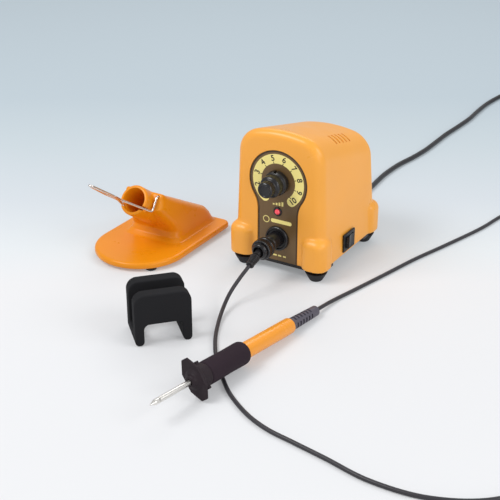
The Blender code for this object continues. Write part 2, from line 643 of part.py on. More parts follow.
def make_mains(black, brass):
    bore = MAINS_CORD_R + GAP
    lean = REAR_LEAN * (MAINS_Z - BUSH_R - 1 - FLOOR_CLEAR) / (SHOULDER_Z - FLOOR_CLEAR)
    outside = REAR_Y - lean + GAP
    neck = BUSH_R - 1
    bush = [(bore, -WALL - 3), (neck, -WALL - 3), (neck, 0), (BUSH_R + 1, 0), (BUSH_R + 1, 1.8),
            (BUSH_R, 2.6), (4.2, BUSH_LENGTH - 1), (3.8, BUSH_LENGTH), (bore, BUSH_LENGTH)]
    back = facing((0.0, 1.0, 0.0))
    piece("mains_bush", turned(bush, 20, True), black, (MAINS_X, outside, MAINS_Z), back)
    start = (MAINS_X, REAR_Y - WALL - 2, MAINS_Z)
    route = [start, (MAINS_X, outside + BUSH_LENGTH - 3, MAINS_Z), *MAINS_ROUTE]
    tube("mains_cord", smooth_route(route, 11.0), MAINS_CORD_R, black)
    ring = [(COIL_INNER_R, 0), (COIL_OUTER_R, 0), (COIL_OUTER_R, COIL_HEIGHT), (COIL_INNER_R, COIL_HEIGHT)]
    piece("mains_coil", turned(ring, 32, True), black, COIL_AT)
    tube("mains_tail", smooth_route(TAIL_ROUTE, 4.0), MAINS_CORD_R, black)
    forward = facing((0.0, -1.0, 0.0))
    plug_at = Vector(TAIL_ROUTE[-1]) + Vector((0, -GAP, 7.0))
    hull = []
    for y, half_x, half_z, lift in ((0, 4.2, 3.4, -7.0), (8, 4.8, 4.0, -6.2), (16, 7.0, 6.0, -3.5),
                                    (22, 11.5, 9.5, 0.0), (42, 12.5, 10.5, 0.0), (44, 11.5, 9.5, 0.0)):
        radius = min(half_x, half_z) * 0.8
        outline = rounded_rect(-half_x, -half_z, half_x, half_z, radius, 3)
        hull.append([Vector((px, pz + lift, y)) for px, pz in outline])
    piece("mains_plug_body", loft(hull), black, plug_at, forward)
    for key, x in (("left", -6.35), ("right", 6.35)):
        blade = prism(rounded_rect(-0.75, -3.2, 0.75, 3.2, 0.5, 1), 44 + GAP, 61.5)
        piece(f"mains_blade_{key}", blade, brass, plug_at + Vector((x, 0, 0)), forward)


# ---------------------------------------------------------------- pen iron

def make_pen(chrome, dark, foam, orange, grey, ceramic):
    turn = facing(PEN_AXIS, WING_AXIS)
    body = [(ROD_R, POINT_LENGTH - 1.4), (ROD_R, POINT_LENGTH + 2.4)]
    point = [(0.45, 0), (0.9, 1.6), (1.0, 2.0), *body]
    stem = [(ROD_BORE_R - GAP, POINT_LENGTH + 2.4), (ROD_BORE_R - GAP, POINT_LENGTH + 12)]
    piece("pen_tip", turned(point + stem, 16), chrome, PEN_POINT, turn)
    rod_start = POINT_LENGTH + 2.4 + GAP
    rod = [(ROD_BORE_R, rod_start), (ROD_R, rod_start), (ROD_R, GUARD_END + 6), (ROD_BORE_R, GUARD_END + 6)]
    piece("pen_rod", turned(rod, 16, True), chrome, PEN_POINT, turn)
    core = [(ROD_BORE_R - GAP, POINT_LENGTH + 12 + GAP * 2), (ROD_BORE_R - GAP, GUARD_END + 5)]
    piece("heater_core", turned(core, 10), ceramic, PEN_POINT, turn)
    piece("finger_guard", guard(), dark, PEN_POINT, turn)
    sleeve = HANDLE_R + GAP
    grip = [(sleeve, GUARD_END + GAP), (GRIP_R - 0.7, GUARD_END + GAP), (GRIP_R, GUARD_END + 1.2),
            (GRIP_R, 62), (GRIP_R - 0.2, 78), (GRIP_R, 88), (GRIP_R - 0.8, GRIP_END - 1.6),
            (sleeve + 0.2, GRIP_END), (sleeve, GRIP_END)]
    piece("pen_grip", turned(grip, 24, True), foam, PEN_POINT, turn)
    handle = [(HANDLE_BORE_R, GUARD_END + 8), (HANDLE_R, GUARD_END + 8), (HANDLE_R, HANDLE_END - 0.8),
              (HANDLE_R - 0.7, HANDLE_END), (HANDLE_BORE_R, HANDLE_END)]
    piece("pen_handle", turned(handle, 24, True), orange, PEN_POINT, turn)
    bore = IRON_CORD_R + GAP
    relief = [(bore, HANDLE_END - 8), (HANDLE_BORE_R - GAP, HANDLE_END - 8),
              (HANDLE_BORE_R - GAP, HANDLE_END + GAP), (RELIEF_R, HANDLE_END + GAP)]
    step = (RELIEF_END - HANDLE_END - 11) / 6
    for k in range(6):
        z = HANDLE_END + 3.5 + k * step
        radius = RELIEF_R + (RELIEF_END_R - RELIEF_R) * (k + 1) / 8
        relief += [(radius, z), (radius - 1.3, z + 0.2), (radius - 1.3, z + step * 0.55),
                   (radius, z + step * 0.6)]
    relief += [(RELIEF_END_R, RELIEF_END - 7.0), (RELIEF_END_R, RELIEF_END - 0.6),
               (RELIEF_END_R - 0.6, RELIEF_END), (bore, RELIEF_END)]
    piece("pen_strain_relief", turned(relief, 16, True), grey, PEN_POINT, turn)


def guard():
    """A blunt cone, a plate with two wings, and a collar with two small lugs."""
    hub = turned([(ROD_R + 1.4, GUARD_START), (5.4, GUARD_START + 2.6), (9.0, GUARD_WING_AT),
                  (9.0, GUARD_WING_AT + 2.4), (GRIP_R - 0.2, GUARD_WING_AT + 3.0),
                  (GRIP_R - 0.2, GUARD_END)], 24)
    half = WING_SPAN
    wings = prism([(-2.0, -half), (2.0, -half), (8.0, -6.4), (8.0, 6.4), (2.0, half), (-2.0, half),
                   (-8.0, 6.4), (-8.0, -6.4)], GUARD_WING_AT, GUARD_WING_AT + 2.6)
    lugs = prism([(-2.2, -9.9), (2.2, -9.9), (2.2, 9.9), (-2.2, 9.9)], GUARD_END - 3.4, GUARD_END - 0.8)
    shape = join(hub, wings, lugs)
    through = turned([(ROD_R + GAP, GUARD_START - 3), (ROD_R + GAP, GUARD_END + 3)], 16)
    return cut(shape, through)


# ---------------------------------------------------------------- pen holder

TUBE_OUT = Vector((0.0, -math.cos(TUBE_TILT), math.sin(TUBE_TILT)))
TUBE_DOWN = Vector((0.0, -math.sin(TUBE_TILT), -math.cos(TUBE_TILT)))


def along_tube(x, forward, below):
    """A point given in the receptacle tube's own directions, from its mouth's centre."""
    return TUBE_MOUTH + Vector((x, 0, 0)) + TUBE_OUT * forward + TUBE_DOWN * below


def base_outline(inset):
    radius = BASE_R - inset
    outline = arc(0, 0, radius, 180, 360, 22)
    outline += arc(radius - 7 + inset, BASE_REAR - 7, 7 - inset, 0, 90, 3)
    outline += arc(-radius + 7 - inset, BASE_REAR - 7, 7 - inset, 90, 180, 3)
    return outline


def make_holder_base():
    levels = ((1.2, BASE_LOW), (0.0, BASE_LOW + 1.3), (0.0, BASE_HIGH - 1.9), (0.6, BASE_HIGH - 0.6),
              (1.9, BASE_HIGH))
    return loft([[Vector((x, y, z)) for x, y in base_outline(inset)] for inset, z in levels])


def make_pedestal():
    """The wedge under the tube: front, rear and half width at each height."""
    levels = ((BASE_HIGH - 1.0, 7.5, 75.4, 28.4), (BASE_HIGH + 0.7, 10.5, 74.2, 27.2),
              (11.0, 14.0, 73.0, 25.6), (16.0, 15.5, 70.6, 24.8), (21.0, 13.2, 66.0, 23.9),
              (30.0, 6.4, 49.0, 22.4), (41.0, -2.6, 28.5, 20.4), (47.0, 1.6, 17.0, 19.4),
              (51.0, 4.5, 9.6, 18.6), (52.4, 5.8, 7.6, 17.6))
    rings = []
    for z, front, rear, half in levels:
        radius = min(9.0, (rear - front) / 2.2)
        rings.append([Vector((x, y, z)) for x, y in rounded_rect(-half, front, half, rear, radius, 4)])
    return loft(rings)


def make_holder(orange, chrome, rubber):
    turn = facing(TUBE_OUT)
    depth = TUBE_BORE_DEPTH + 6
    outer = [(TUBE_R, -depth), (TUBE_R, -1.2), (TUBE_R - 1.0, 0.0)]
    receptacle = moved(turned(outer, 32), TUBE_MOUTH, turn)
    body = join(make_holder_base(), make_pedestal(), receptacle)
    bore = moved(turned([(TUBE_BORE_R, -TUBE_BORE_DEPTH), (TUBE_BORE_R, 4)], 32), TUBE_MOUTH, turn)
    half = WIRE_R + 0.7
    notch = block((-20, -WIRE_BELOW - half, -5.5), (20, -WIRE_BELOW + half, 6))
    notch = moved(notch, TUBE_MOUTH, turn)
    hook_below = -8.6
    sockets = []
    for side in (-1, 1):
        pocket = turned([(WIRE_R + GAP, 0), (WIRE_R + GAP, 12)], 12)
        at = along_tube(side * WIRE_HALF, -WIRE_BEHIND - WIRE_HOOK - GAP, hook_below)
        sockets.append(moved(pocket, at, turn))
    body = cut(body, bore, notch, *sockets)
    piece("holder_body", body, orange, HOLDER_AT)
    corners = []
    for side in (1, -1):
        leg = [(WIRE_HALF, -WIRE_BEHIND - WIRE_HOOK, hook_below), (WIRE_HALF, -WIRE_BEHIND, hook_below),
               (WIRE_HALF, -WIRE_BEHIND, WIRE_BELOW), (1.4, WIRE_PINCH, WIRE_BELOW),
               (4.2, WIRE_PINCH + 13, WIRE_BELOW), (3.6, WIRE_PINCH + 23, WIRE_BELOW),
               (1.35, WIRE_TIP, WIRE_BELOW)]
        points = [along_tube(side * x, t, s) for x, t, s in leg]
        corners += points if side > 0 else list(reversed(points))
    tube("wire_clip", [p + HOLDER_AT for p in filleted(corners, 2.6)], WIRE_R, chrome)
    pads = {"fl": (-25, -23), "fr": (25, -23), "rl": (-31, 67), "rr": (31, 67)}
    for key, (x, y) in pads.items():
        pad = turned([(PAD_R - 0.4, 0), (PAD_R, 0.4), (PAD_R, BASE_LOW - GAP)], 16)
        piece(f"holder_pad_{key}", pad, rubber, HOLDER_AT + Vector((x, y, 0)))


# ---------------------------------------------------------------- foam rest

def make_rest(foam):
    """Two plates joined at their feet: an open channel across the top, an arch below."""
    half = REST_WIDTH / 2
    foot_r = REST_LEG / 2
    inner = half - REST_LEG
    right = arc(half - foot_r, foot_r, foot_r, -90, 0, 3)
    right += arc(half - REST_CORNER_R, REST_HEIGHT - REST_CORNER_R, REST_CORNER_R, 0, 90, 5)
    under = arc(inner - 4, REST_ARCH_HEIGHT - 4, 4, 90, 0, 3)
    under += arc(half - foot_r, foot_r, foot_r, -180, -90, 3)[:-1]
    outline = right + [(-x, z) for x, z in reversed(right)]
    outline += [(-x, z) for x, z in reversed(under)] + under
    deep = REST_DEPTH / 2
    body = loft([[Vector((x, y, z)) for x, z in outline] for y in (-deep, deep)])
    gap = deep - REST_PLATE
    channel = block((-half - 2, -gap, REST_CHANNEL_FLOOR), (half + 2, gap, REST_HEIGHT + 5))
    body = cut(body, channel)
    piece("rest_block", body, foam, REST_AT, Matrix.Rotation(REST_TURN, 3, "Z"))


def make_iron_cord(black):
    start = [BOOT_ROOT + BOOT_AXIS * s for s in (1.0, 8.0, BOOT_LENGTH, BOOT_LENGTH + 4)]
    end = [PEN_POINT + PEN_AXIS * s for s in (RELIEF_END + 4, RELIEF_END, RELIEF_END - 7)]
    route = [*start, *IRON_ROUTE, *end]
    tube("iron_cord", smooth_route(route, 14.0), IRON_CORD_R, black)


def main():
    for old in list(bpy.data.objects):
        bpy.data.objects.remove(old, do_unlink=True)
    orange = material("orange_plastic", (0.82, 0.40, 0.09), 0.38)
    black = material("black_plastic", (0.015, 0.015, 0.017), 0.35)
    dark = material("dark_plastic", (0.03, 0.03, 0.035), 0.5)
    rubber = material("black_rubber", (0.02, 0.02, 0.02), 0.8)
    foam = material("black_foam", (0.03, 0.026, 0.03), 0.9)
    brown = material("brown_panel", (0.16, 0.095, 0.04), 0.35)
    red = material("red_lens", (0.8, 0.05, 0.05), 0.15)
    steel = material("plated_steel", (0.55, 0.55, 0.56), 0.35, 1.0)
    chrome = material("chrome_wire", (0.75, 0.74, 0.72), 0.18, 1.0)
    copper = material("copper_winding", (0.65, 0.28, 0.12), 0.4, 1.0)
    green = material("board_green", (0.04, 0.2, 0.08), 0.5)
    metal = material("aluminium", (0.7, 0.7, 0.72), 0.4, 1.0)
    brass = material("brass_blade", (0.75, 0.6, 0.3), 0.3, 1.0)
    grey = material("grey_rubber", (0.17, 0.16, 0.19), 0.6)
    ceramic = material("white_ceramic", (0.85, 0.84, 0.8), 0.6)
    make_casing(orange)
    make_base(dark, rubber, steel)
    make_panel(brown)
    make_dial(black, steel)
    make_potentiometer(dark, steel)
    make_lamp(dark, red)
    make_socket(dark, black)
    make_plug(black)
    make_switch(black)
    make_insides(steel, copper, green, metal, dark)
    make_mains(black, brass)
    make_iron_cord(black)
    make_pen(chrome, dark, foam, orange, grey, ceramic)
    make_holder(orange, chrome, rubber)
    make_rest(foam)


main()
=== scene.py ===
"""Looks for the pen-type hot iron set: station, pen, holder, rest and both cords.

Shapes are worked out in millimetres from the station's centre, as in the part, and moved into
the row frame in metres when a piece is made.
"""

import math

import bmesh
import bpy
from mathutils import Matrix, Vector


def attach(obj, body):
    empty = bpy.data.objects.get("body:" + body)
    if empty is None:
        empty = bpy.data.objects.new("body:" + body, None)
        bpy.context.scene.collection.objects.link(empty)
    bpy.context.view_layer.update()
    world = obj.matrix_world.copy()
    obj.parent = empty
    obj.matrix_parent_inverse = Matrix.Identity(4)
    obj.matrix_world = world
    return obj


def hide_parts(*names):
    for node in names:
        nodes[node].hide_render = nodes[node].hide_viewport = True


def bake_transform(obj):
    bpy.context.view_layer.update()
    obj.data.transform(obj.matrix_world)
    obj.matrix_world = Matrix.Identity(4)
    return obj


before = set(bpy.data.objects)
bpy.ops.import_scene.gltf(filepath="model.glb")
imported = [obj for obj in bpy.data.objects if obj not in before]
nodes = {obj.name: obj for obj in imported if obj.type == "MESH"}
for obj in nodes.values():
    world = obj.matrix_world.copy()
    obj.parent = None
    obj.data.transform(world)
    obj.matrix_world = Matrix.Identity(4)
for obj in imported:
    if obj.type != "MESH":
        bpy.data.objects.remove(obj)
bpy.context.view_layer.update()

CENTRE = Vector((-45.73, -111.98, 0.0))
MM = 0.001


# ---------------------------------------------------------------- camera, light and floor

camera = bpy.data.objects.new("camera", bpy.data.cameras.new("camera"))
bpy.context.scene.collection.objects.link(camera)
camera.location = (0.43183, -0.62672, 0.4009)
target = Vector((-0.01027, 0.11198, -0.0153))
camera.rotation_euler = (target - camera.location).to_track_quat("-Z", "Y").to_euler()
camera.data.lens = 79.2
camera.data.sensor_width = 36.0
camera.data.clip_end = 20.0
bpy.context.scene.camera = camera
bpy.context.scene.view_settings.view_transform = "Standard"


def srgb(r, g, b):
    return tuple((v / 255 / 12.92) if v / 255 <= 0.04045 else ((v / 255 + 0.055) / 1.055) ** 2.4
                 for v in (r, g, b))


def area(name, place, aim, size, power, colour=(1.0, 1.0, 1.0)):
    lamp = bpy.data.objects.new(name, bpy.data.lights.new(name, "AREA"))
    bpy.context.scene.collection.objects.link(lamp)
    lamp.location = place
    lamp.rotation_euler = (Vector(aim) - Vector(place)).to_track_quat("-Z", "Y").to_euler()
    lamp.data.shape = "RECTANGLE"
    lamp.data.size, lamp.data.size_y = size
    lamp.data.energy = power
    lamp.data.color = colour
    return lamp


AIM = (0.0, 0.05, 0.03)
area("key", (-0.55, -0.75, 1.25), AIM, (0.8, 0.6), 14.0)
area("side", (1.2, 0.1, 0.8), AIM, (0.8, 0.7), 6.6)
area("edge", (0.95, -0.62, 0.3), AIM, (0.3, 0.45), 1.6)
area("back", (-0.3, 1.1, 1.1), AIM, (1.2, 0.4), 4.4)

sky = bpy.data.worlds.new("studio")
bpy.context.scene.world = sky
sky.use_nodes = True
sky.node_tree.nodes["Background"].inputs["Color"].default_value = (0.97, 0.98, 1.0, 1.0)
sky.node_tree.nodes["Background"].inputs["Strength"].default_value = 0.53


# the floor's glow is painted light: it lifts the floor's brightness and washes out shadows on it
FLOOR_SHARE = 0.64  # of the floor's tone that is its own colour; the rest is a faint glow under it
FLOOR_PAINTED_GLOW = 0.42
FLOOR_HALF = 8.0
FLOOR_STOPS = (
    (0.0, (234, 235, 237)), (0.26, (235, 236, 238)), (0.34, (230, 235, 238)), (0.47, (217, 224, 230)),
    (0.65, (206, 217, 223)), (0.85, (197, 210, 218)),
)


def floor():
    """A flat floor whose tone changes slowly from front to back, and which gives off a painted glow of its
    own.
    """
    mesh = bpy.data.meshes.new("floor")
    corners = [(x * FLOOR_HALF, y * FLOOR_HALF, 0) for x, y in ((-1, -1), (1, -1), (1, 1), (-1, 1))]
    mesh.from_pydata(corners, [], [(0, 1, 2, 3)])
    obj = bpy.data.objects.new("floor", mesh)
    bpy.context.scene.collection.objects.link(obj)
    mat = bpy.data.materials.new("floor")
    mat.use_nodes = True
    tree = mat.node_tree
    shader = tree.nodes["Principled BSDF"]
    shader.inputs["Roughness"].default_value = 0.85
    shader.inputs["Specular IOR Level"].default_value = 0.15
    place = tree.nodes.new("ShaderNodeTexCoord")
    along = tree.nodes.new("ShaderNodeVectorMath")
    along.operation = "DOT_PRODUCT"
    along.inputs[1].default_value = (-0.5135, 0.858, 0.0)
    tree.links.new(place.outputs["Object"], along.inputs[0])
    spread = tree.nodes.new("ShaderNodeMapRange")
    spread.inputs["From Min"].default_value = -0.2
    spread.inputs["From Max"].default_value = 0.6
    tree.links.new(along.outputs["Value"], spread.inputs["Value"])
    ramp = tree.nodes.new("ShaderNodeValToRGB")
    for k, (at, colour) in enumerate(FLOOR_STOPS):
        if k < 2:
            stop = ramp.color_ramp.elements[k]
            stop.position = at
        else:
            stop = ramp.color_ramp.elements.new(at)
        stop.color = (*[c * FLOOR_SHARE for c in srgb(*colour)], 1.0)
    tree.links.new(spread.outputs["Result"], ramp.inputs["Fac"])
    tree.links.new(ramp.outputs["Color"], shader.inputs["Base Color"])
    # painted glow: the floor shines with its own tone, so it looks brighter and shadows on it are washed out
    tree.links.new(ramp.outputs["Color"], shader.inputs["Emission Color"])
    shader.inputs["Emission Strength"].default_value = FLOOR_PAINTED_GLOW
    mesh.materials.append(mat)


floor()


# ---------------------------------------------------------------- materials

def surface(name, colour, rough=0.4, metallic=0.0, grain=1500.0, bump=0.05, vary=0.06,
            tone=0.06, coat=0.0, specular=0.5, emission=None):
    """A node material with a fine grain, patches of uneven polish and slight tone changes."""
    mat = bpy.data.materials.new(name)
    mat.use_nodes = True
    tree = mat.node_tree
    shader = tree.nodes["Principled BSDF"]
    shader.inputs["Metallic"].default_value = metallic
    shader.inputs["Coat Weight"].default_value = coat
    shader.inputs["Coat Roughness"].default_value = 0.12
    shader.inputs["Specular IOR Level"].default_value = specular
    if emission:
        shader.inputs["Emission Color"].default_value = (*emission[0], 1.0)
        shader.inputs["Emission Strength"].default_value = emission[1]
    place = tree.nodes.new("ShaderNodeTexCoord")

    def noise(scale, detail):
        node = tree.nodes.new("ShaderNodeTexNoise")
        node.inputs["Scale"].default_value = scale
        node.inputs["Detail"].default_value = detail
        tree.links.new(place.outputs["Object"], node.inputs["Vector"])
        return node.outputs["Fac"]

    def spread(value, low, high):
        node = tree.nodes.new("ShaderNodeMapRange")
        node.inputs["From Min"].default_value = 0.3
        node.inputs["From Max"].default_value = 0.7
        node.inputs["To Min"].default_value = low
        node.inputs["To Max"].default_value = high
        tree.links.new(value, node.inputs["Value"])
        return node.outputs["Result"]

    low, high = max(0.03, rough - vary), min(1.0, rough + vary)
    tree.links.new(spread(noise(45.0, 4.0), low, high), shader.inputs["Roughness"])
    mix = tree.nodes.new("ShaderNodeMix")
    mix.data_type = "RGBA"
    mix.inputs["A"].default_value = (*[c * (1 - tone) for c in colour], 1.0)
    mix.inputs["B"].default_value = (*[min(1.0, c * (1 + tone)) for c in colour], 1.0)
    tree.links.new(spread(noise(22.0, 3.0), 0.0, 1.0), mix.inputs["Factor"])
    tree.links.new(mix.outputs["Result"], shader.inputs["Base Color"])
    lift = tree.nodes.new("ShaderNodeBump")
    lift.inputs["Strength"].default_value = bump
    lift.inputs["Distance"].default_value = 0.0002
    tree.links.new(noise(grain, 2.0), lift.inputs["Height"])
    tree.links.new(lift.outputs["Normal"], shader.inputs["Normal"])
    return mat


ORANGE = surface("station_orange", srgb(240, 165, 64), 0.33, grain=2500.0, bump=0.1, tone=0.02,
                 specular=0.4)
HOLDER_ORANGE = surface("holder_orange", srgb(228, 140, 14), 0.3, grain=2500.0, bump=0.06, tone=0.02,
                        specular=0.3)
PEN_ORANGE = surface("pen_orange", srgb(232, 150, 44), 0.25, grain=2500.0, bump=0.04, tone=0.02)
BROWN = surface("panel_brown", srgb(106, 82, 50), 0.38, metallic=0.15, grain=3000.0, bump=0.04, tone=0.03)
# a dark brown used as painted shade along the panel's edge, where the groove round the panel falls into
# shadow
PANEL_GROOVE_SHADE = surface("panel_edge_painted_shade", srgb(56, 42, 28), 0.5, tone=0.03)
CREAM = surface("print_cream", srgb(240, 224, 140), 0.5, grain=3000.0, bump=0.03, tone=0.02, specular=0.3)
INK = surface("print_ink", srgb(40, 34, 28), 0.5, grain=3000.0, bump=0.03, tone=0.05)
BLACK = surface("black_gloss", srgb(22, 21, 24), 0.27, grain=2600.0, bump=0.05, tone=0.1)
BLACK_SATIN = surface("black_satin", srgb(26, 25, 27), 0.4, grain=2600.0, bump=0.08, tone=0.1, specular=0.4)
GUARD = surface("guard_black", srgb(38, 29, 34), 0.6, grain=2600.0, bump=0.1, tone=0.1, specular=0.2)
RUBBER = surface("foot_rubber", srgb(30, 29, 32), 0.62, grain=2200.0, bump=0.15, tone=0.1, specular=0.3)
IRON_CORD = surface("iron_cord_sheath", srgb(50, 48, 52), 0.42, grain=1400.0, bump=0.06, tone=0.08,
                    specular=0.35)
MAINS_CORD = surface("mains_cord_sheath", srgb(34, 33, 36), 0.36, grain=1400.0, bump=0.06,
                     tone=0.08)
GRIP = surface("grip_foam", srgb(44, 34, 41), 0.85, grain=5200.0, bump=0.5, tone=0.12, specular=0.15)
FOAM = surface("rest_foam", srgb(34, 34, 36), 0.88, grain=4200.0, bump=0.3, tone=0.1, specular=0.12)
RELIEF = surface("relief_grey", srgb(84, 80, 90), 0.5, grain=2200.0, bump=0.08, tone=0.06, specular=0.35)
STEEL = surface("rod_steel", (0.78, 0.76, 0.72), 0.3, metallic=1.0, grain=3200.0, bump=0.004, tone=0.05)
CHROME = surface("wire_chrome", (0.72, 0.66, 0.62), 0.2, metallic=1.0, grain=2600.0, bump=0.004, tone=0.08)
RED = surface("lamp_red", srgb(232, 70, 84), 0.12, grain=2600.0, bump=0.02, tone=0.04, coat=0.6,
              emission=(srgb(238, 90, 104), 0.25))
SCREW = surface("screw_steel", (0.5, 0.5, 0.51), 0.35, metallic=1.0, grain=2600.0)
COPPER = surface("winding_copper", (0.6, 0.26, 0.12), 0.4, metallic=1.0, grain=900.0, bump=0.3)
BOARD = surface("board_green", (0.03, 0.16, 0.07), 0.5, grain=1200.0)
ALUMINIUM = surface("aluminium", (0.66, 0.66, 0.68), 0.4, metallic=1.0, grain=1800.0)
CORE = surface("core_steel", (0.35, 0.35, 0.37), 0.45, metallic=1.0, grain=900.0, bump=0.3)
BRASS = surface("blade_brass", (0.72, 0.58, 0.3), 0.3, metallic=1.0, grain=2200.0)
CERAMIC = surface("heater_ceramic", (0.82, 0.8, 0.75), 0.6)

KEPT = {
    "base_plate": BLACK_SATIN, "transformer_core": CORE, "transformer_coil": COPPER,
    "circuit_board": BOARD, "heat_sink": ALUMINIUM, "capacitor": BLACK, "heater_core": CERAMIC,
    "pot_body": BLACK_SATIN, "pot_nut": SCREW, "pot_shaft": SCREW, "socket_body": BLACK_SATIN,
    "mains_plug_body": BLACK_SATIN, "mains_blade_left": BRASS, "mains_blade_right": BRASS,
}
for key in ("fl", "fr", "rl", "rr"):
    KEPT[f"foot_{key}"] = RUBBER
    KEPT[f"foot_screw_{key}"] = SCREW
    KEPT[f"holder_pad_{key}"] = RUBBER
    KEPT[f"board_post_{key}"] = ALUMINIUM
for name, mat in KEPT.items():
    nodes[name].data.materials.clear()
    nodes[name].data.materials.append(mat)


# ---------------------------------------------------------------- making shapes

def loft(rings, closed=False):
    """A body through rings of equal length, capped at both ends or closed on itself."""
    bm = bmesh.new()
    rows = [[bm.verts.new(p) for p in ring] for ring in rings]
    pairs = list(zip(rows, rows[1:]))
    if closed:
        pairs.append((rows[-1], rows[0]))
    else:
        bm.faces.new(rows[0])
        bm.faces.new(rows[-1])
    for low, high in pairs:
        for i, corner in enumerate(low):
            j = (i + 1) % len(low)
            bm.faces.new((corner, low[j], high[j], high[i]))
    bmesh.ops.recalc_face_normals(bm, faces=bm.faces)
    return bm


def arc(cx, cy, radius, start, end, steps):
    angles = [math.radians(start + (end - start) * k / steps) for k in range(steps + 1)]
    return [(cx + radius * math.cos(a), cy + radius * math.sin(a)) for a in angles]


def rounded_rect(x0, y0, x1, y1, radius, steps=8):
    points = arc(x1 - radius, y0 + radius, radius, -90, 0, steps)
    points += arc(x1 - radius, y1 - radius, radius, 0, 90, steps)
    points += arc(x0 + radius, y1 - radius, radius, 90, 180, steps)
    points += arc(x0 + radius, y0 + radius, radius, 180, 270, steps)
    return points


def softened(profile, radius, closed=False):
    """A turned profile with each corner rounded."""
    pts = [Vector((r, z)) for r, z in profile]
    result = []
    last = len(pts) - 1
    for i, corner in enumerate(pts):
        if not closed and i in (0, last):
            result.append(tuple(corner))
            continue
        before, after = pts[i - 1], pts[(i + 1) % len(pts)]
        a, b = before - corner, after - corner
        reach = min(radius, a.length / 2.3, b.length / 2.3)
        start, end = corner + a.normalized() * reach, corner + b.normalized() * reach
        for t in (0.0, 0.25, 0.5, 0.75, 1.0):
            result.append(tuple((1 - t) ** 2 * start + 2 * t * (1 - t) * corner + t * t * end))
    return result


def turned(profile, sides=64, closed=False, wave=None):
    """A profile of (radius, height) turned about Z. wave(angle, height) scales the radius."""
    rings = []
    for r, z in profile:
        ring = []
        for k in range(sides):
            a = 2 * math.pi * k / sides
            q = r * (wave(a, z) if wave else 1.0)
            ring.append(Vector((q * math.cos(a), q * math.sin(a), z)))
        rings.append(ring)
    return loft(rings, closed)


def block(low, high):
    (x0, y0, z0), (x1, y1, z1) = low, high
    outline = [(x0, y0), (x1, y0), (x1, y1), (x0, y1)]
    return loft([[Vector((x, y, z)) for x, y in outline] for z in (z0, z1)])


def prism(outline, z0, z1):
    return loft([[Vector((x, y, z)) for x, y in outline] for z in (z0, z1)])


def facing(direction, up=(0.0, 0.0, 1.0)):
    z = Vector(direction).normalized()
    x = Vector(up).cross(z).normalized()
    return Matrix((x, z.cross(x), z)).transposed()


def moved(bm, at=(0.0, 0.0, 0.0), turn=None):
    if turn is not None:
        bm.transform(turn.to_4x4())
    bm.transform(Matrix.Translation(Vector(at)))
    return bm


def host(bm):
    mesh = bpy.data.meshes.new("work")
    bm.to_mesh(mesh)
    bm.free()
    obj = bpy.data.objects.new("work", mesh)
    bpy.context.scene.collection.objects.link(obj)
    return obj


def settled(obj):
    """The object's evaluated mesh as a bmesh; the object is removed."""
    bpy.context.view_layer.update()
    seen = obj.evaluated_get(bpy.context.evaluated_depsgraph_get())
    result = bmesh.new()
    result.from_mesh(seen.to_mesh())
    seen.to_mesh_clear()
    bpy.data.objects.remove(obj, do_unlink=True)
    return result


def combine(body, tools, operation):
    base = host(body)
    helpers = [host(tool) for tool in tools]
    for helper in helpers:
        step = base.modifiers.new("step", "BOOLEAN")
        step.operation = operation
        step.solver = "EXACT"
        step.object = helper
    result = settled(base)
    for helper in helpers:
        bpy.data.objects.remove(helper, do_unlink=True)
    return result


def cut(body, *tools):
    return combine(body, tools, "DIFFERENCE")


def join(body, *tools):
    return combine(body, tools, "UNION")


def melted(body, grain, passes):
    """The body rebuilt in small even faces and smoothed, so that corners and joins turn round."""
    base = host(body)
    step = base.modifiers.new("grain", "REMESH")
    step.mode = "VOXEL"
    step.voxel_size = grain
    soften = base.modifiers.new("soften", "SMOOTH")
    soften.factor = 0.5
    soften.iterations = passes
    return settled(base)


def piece(name, bm, mat, body, at=(0.0, 0.0, 0.0), turn=None, instead=(), angle=35.0):
    """A shown piece that rides on a body and may stand for CAD nodes."""
    moved(bm, at, turn)
    bm.transform(Matrix.Translation(-CENTRE))
    bm.transform(Matrix.Scale(MM, 4))
    bmesh.ops.recalc_face_normals(bm, faces=bm.faces)
    mesh = bpy.data.meshes.new(name)
    bm.to_mesh(mesh)
    bm.free()
    mesh.shade_smooth()
    mesh.set_sharp_from_angle(angle=math.radians(angle))
    mesh.materials.append(mat)
    obj = bpy.data.objects.new(name, mesh)
    bpy.context.scene.collection.objects.link(obj)
    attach(obj, body)
    if instead:
        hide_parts(*instead)
    return obj


# ---------------------------------------------------------------- cords

PANEL_Y = -51.1
OUT = facing((0.0, -1.0, 0.0))
BOOT_AXIS = Vector((-0.02, -math.cos(math.radians(22)), -math.sin(math.radians(22)))).normalized()
BOOT_ROOT = Vector((0.0, PANEL_Y - 18.5 - 8.5 - 1.2, 30.2))
PEN_POINT = Vector((38.5, -278.8, 16.9))
PEN_AXIS = Vector((0.1160, 0.9905, -0.0697)).normalized()
WING_AXIS = Vector((-0.61, 0.08, 0.78))
PEN_TURN = facing(PEN_AXIS, WING_AXIS)
RELIEF_END = 182.4
COIL_AT = Vector((41.0, 520.0, 0.0))

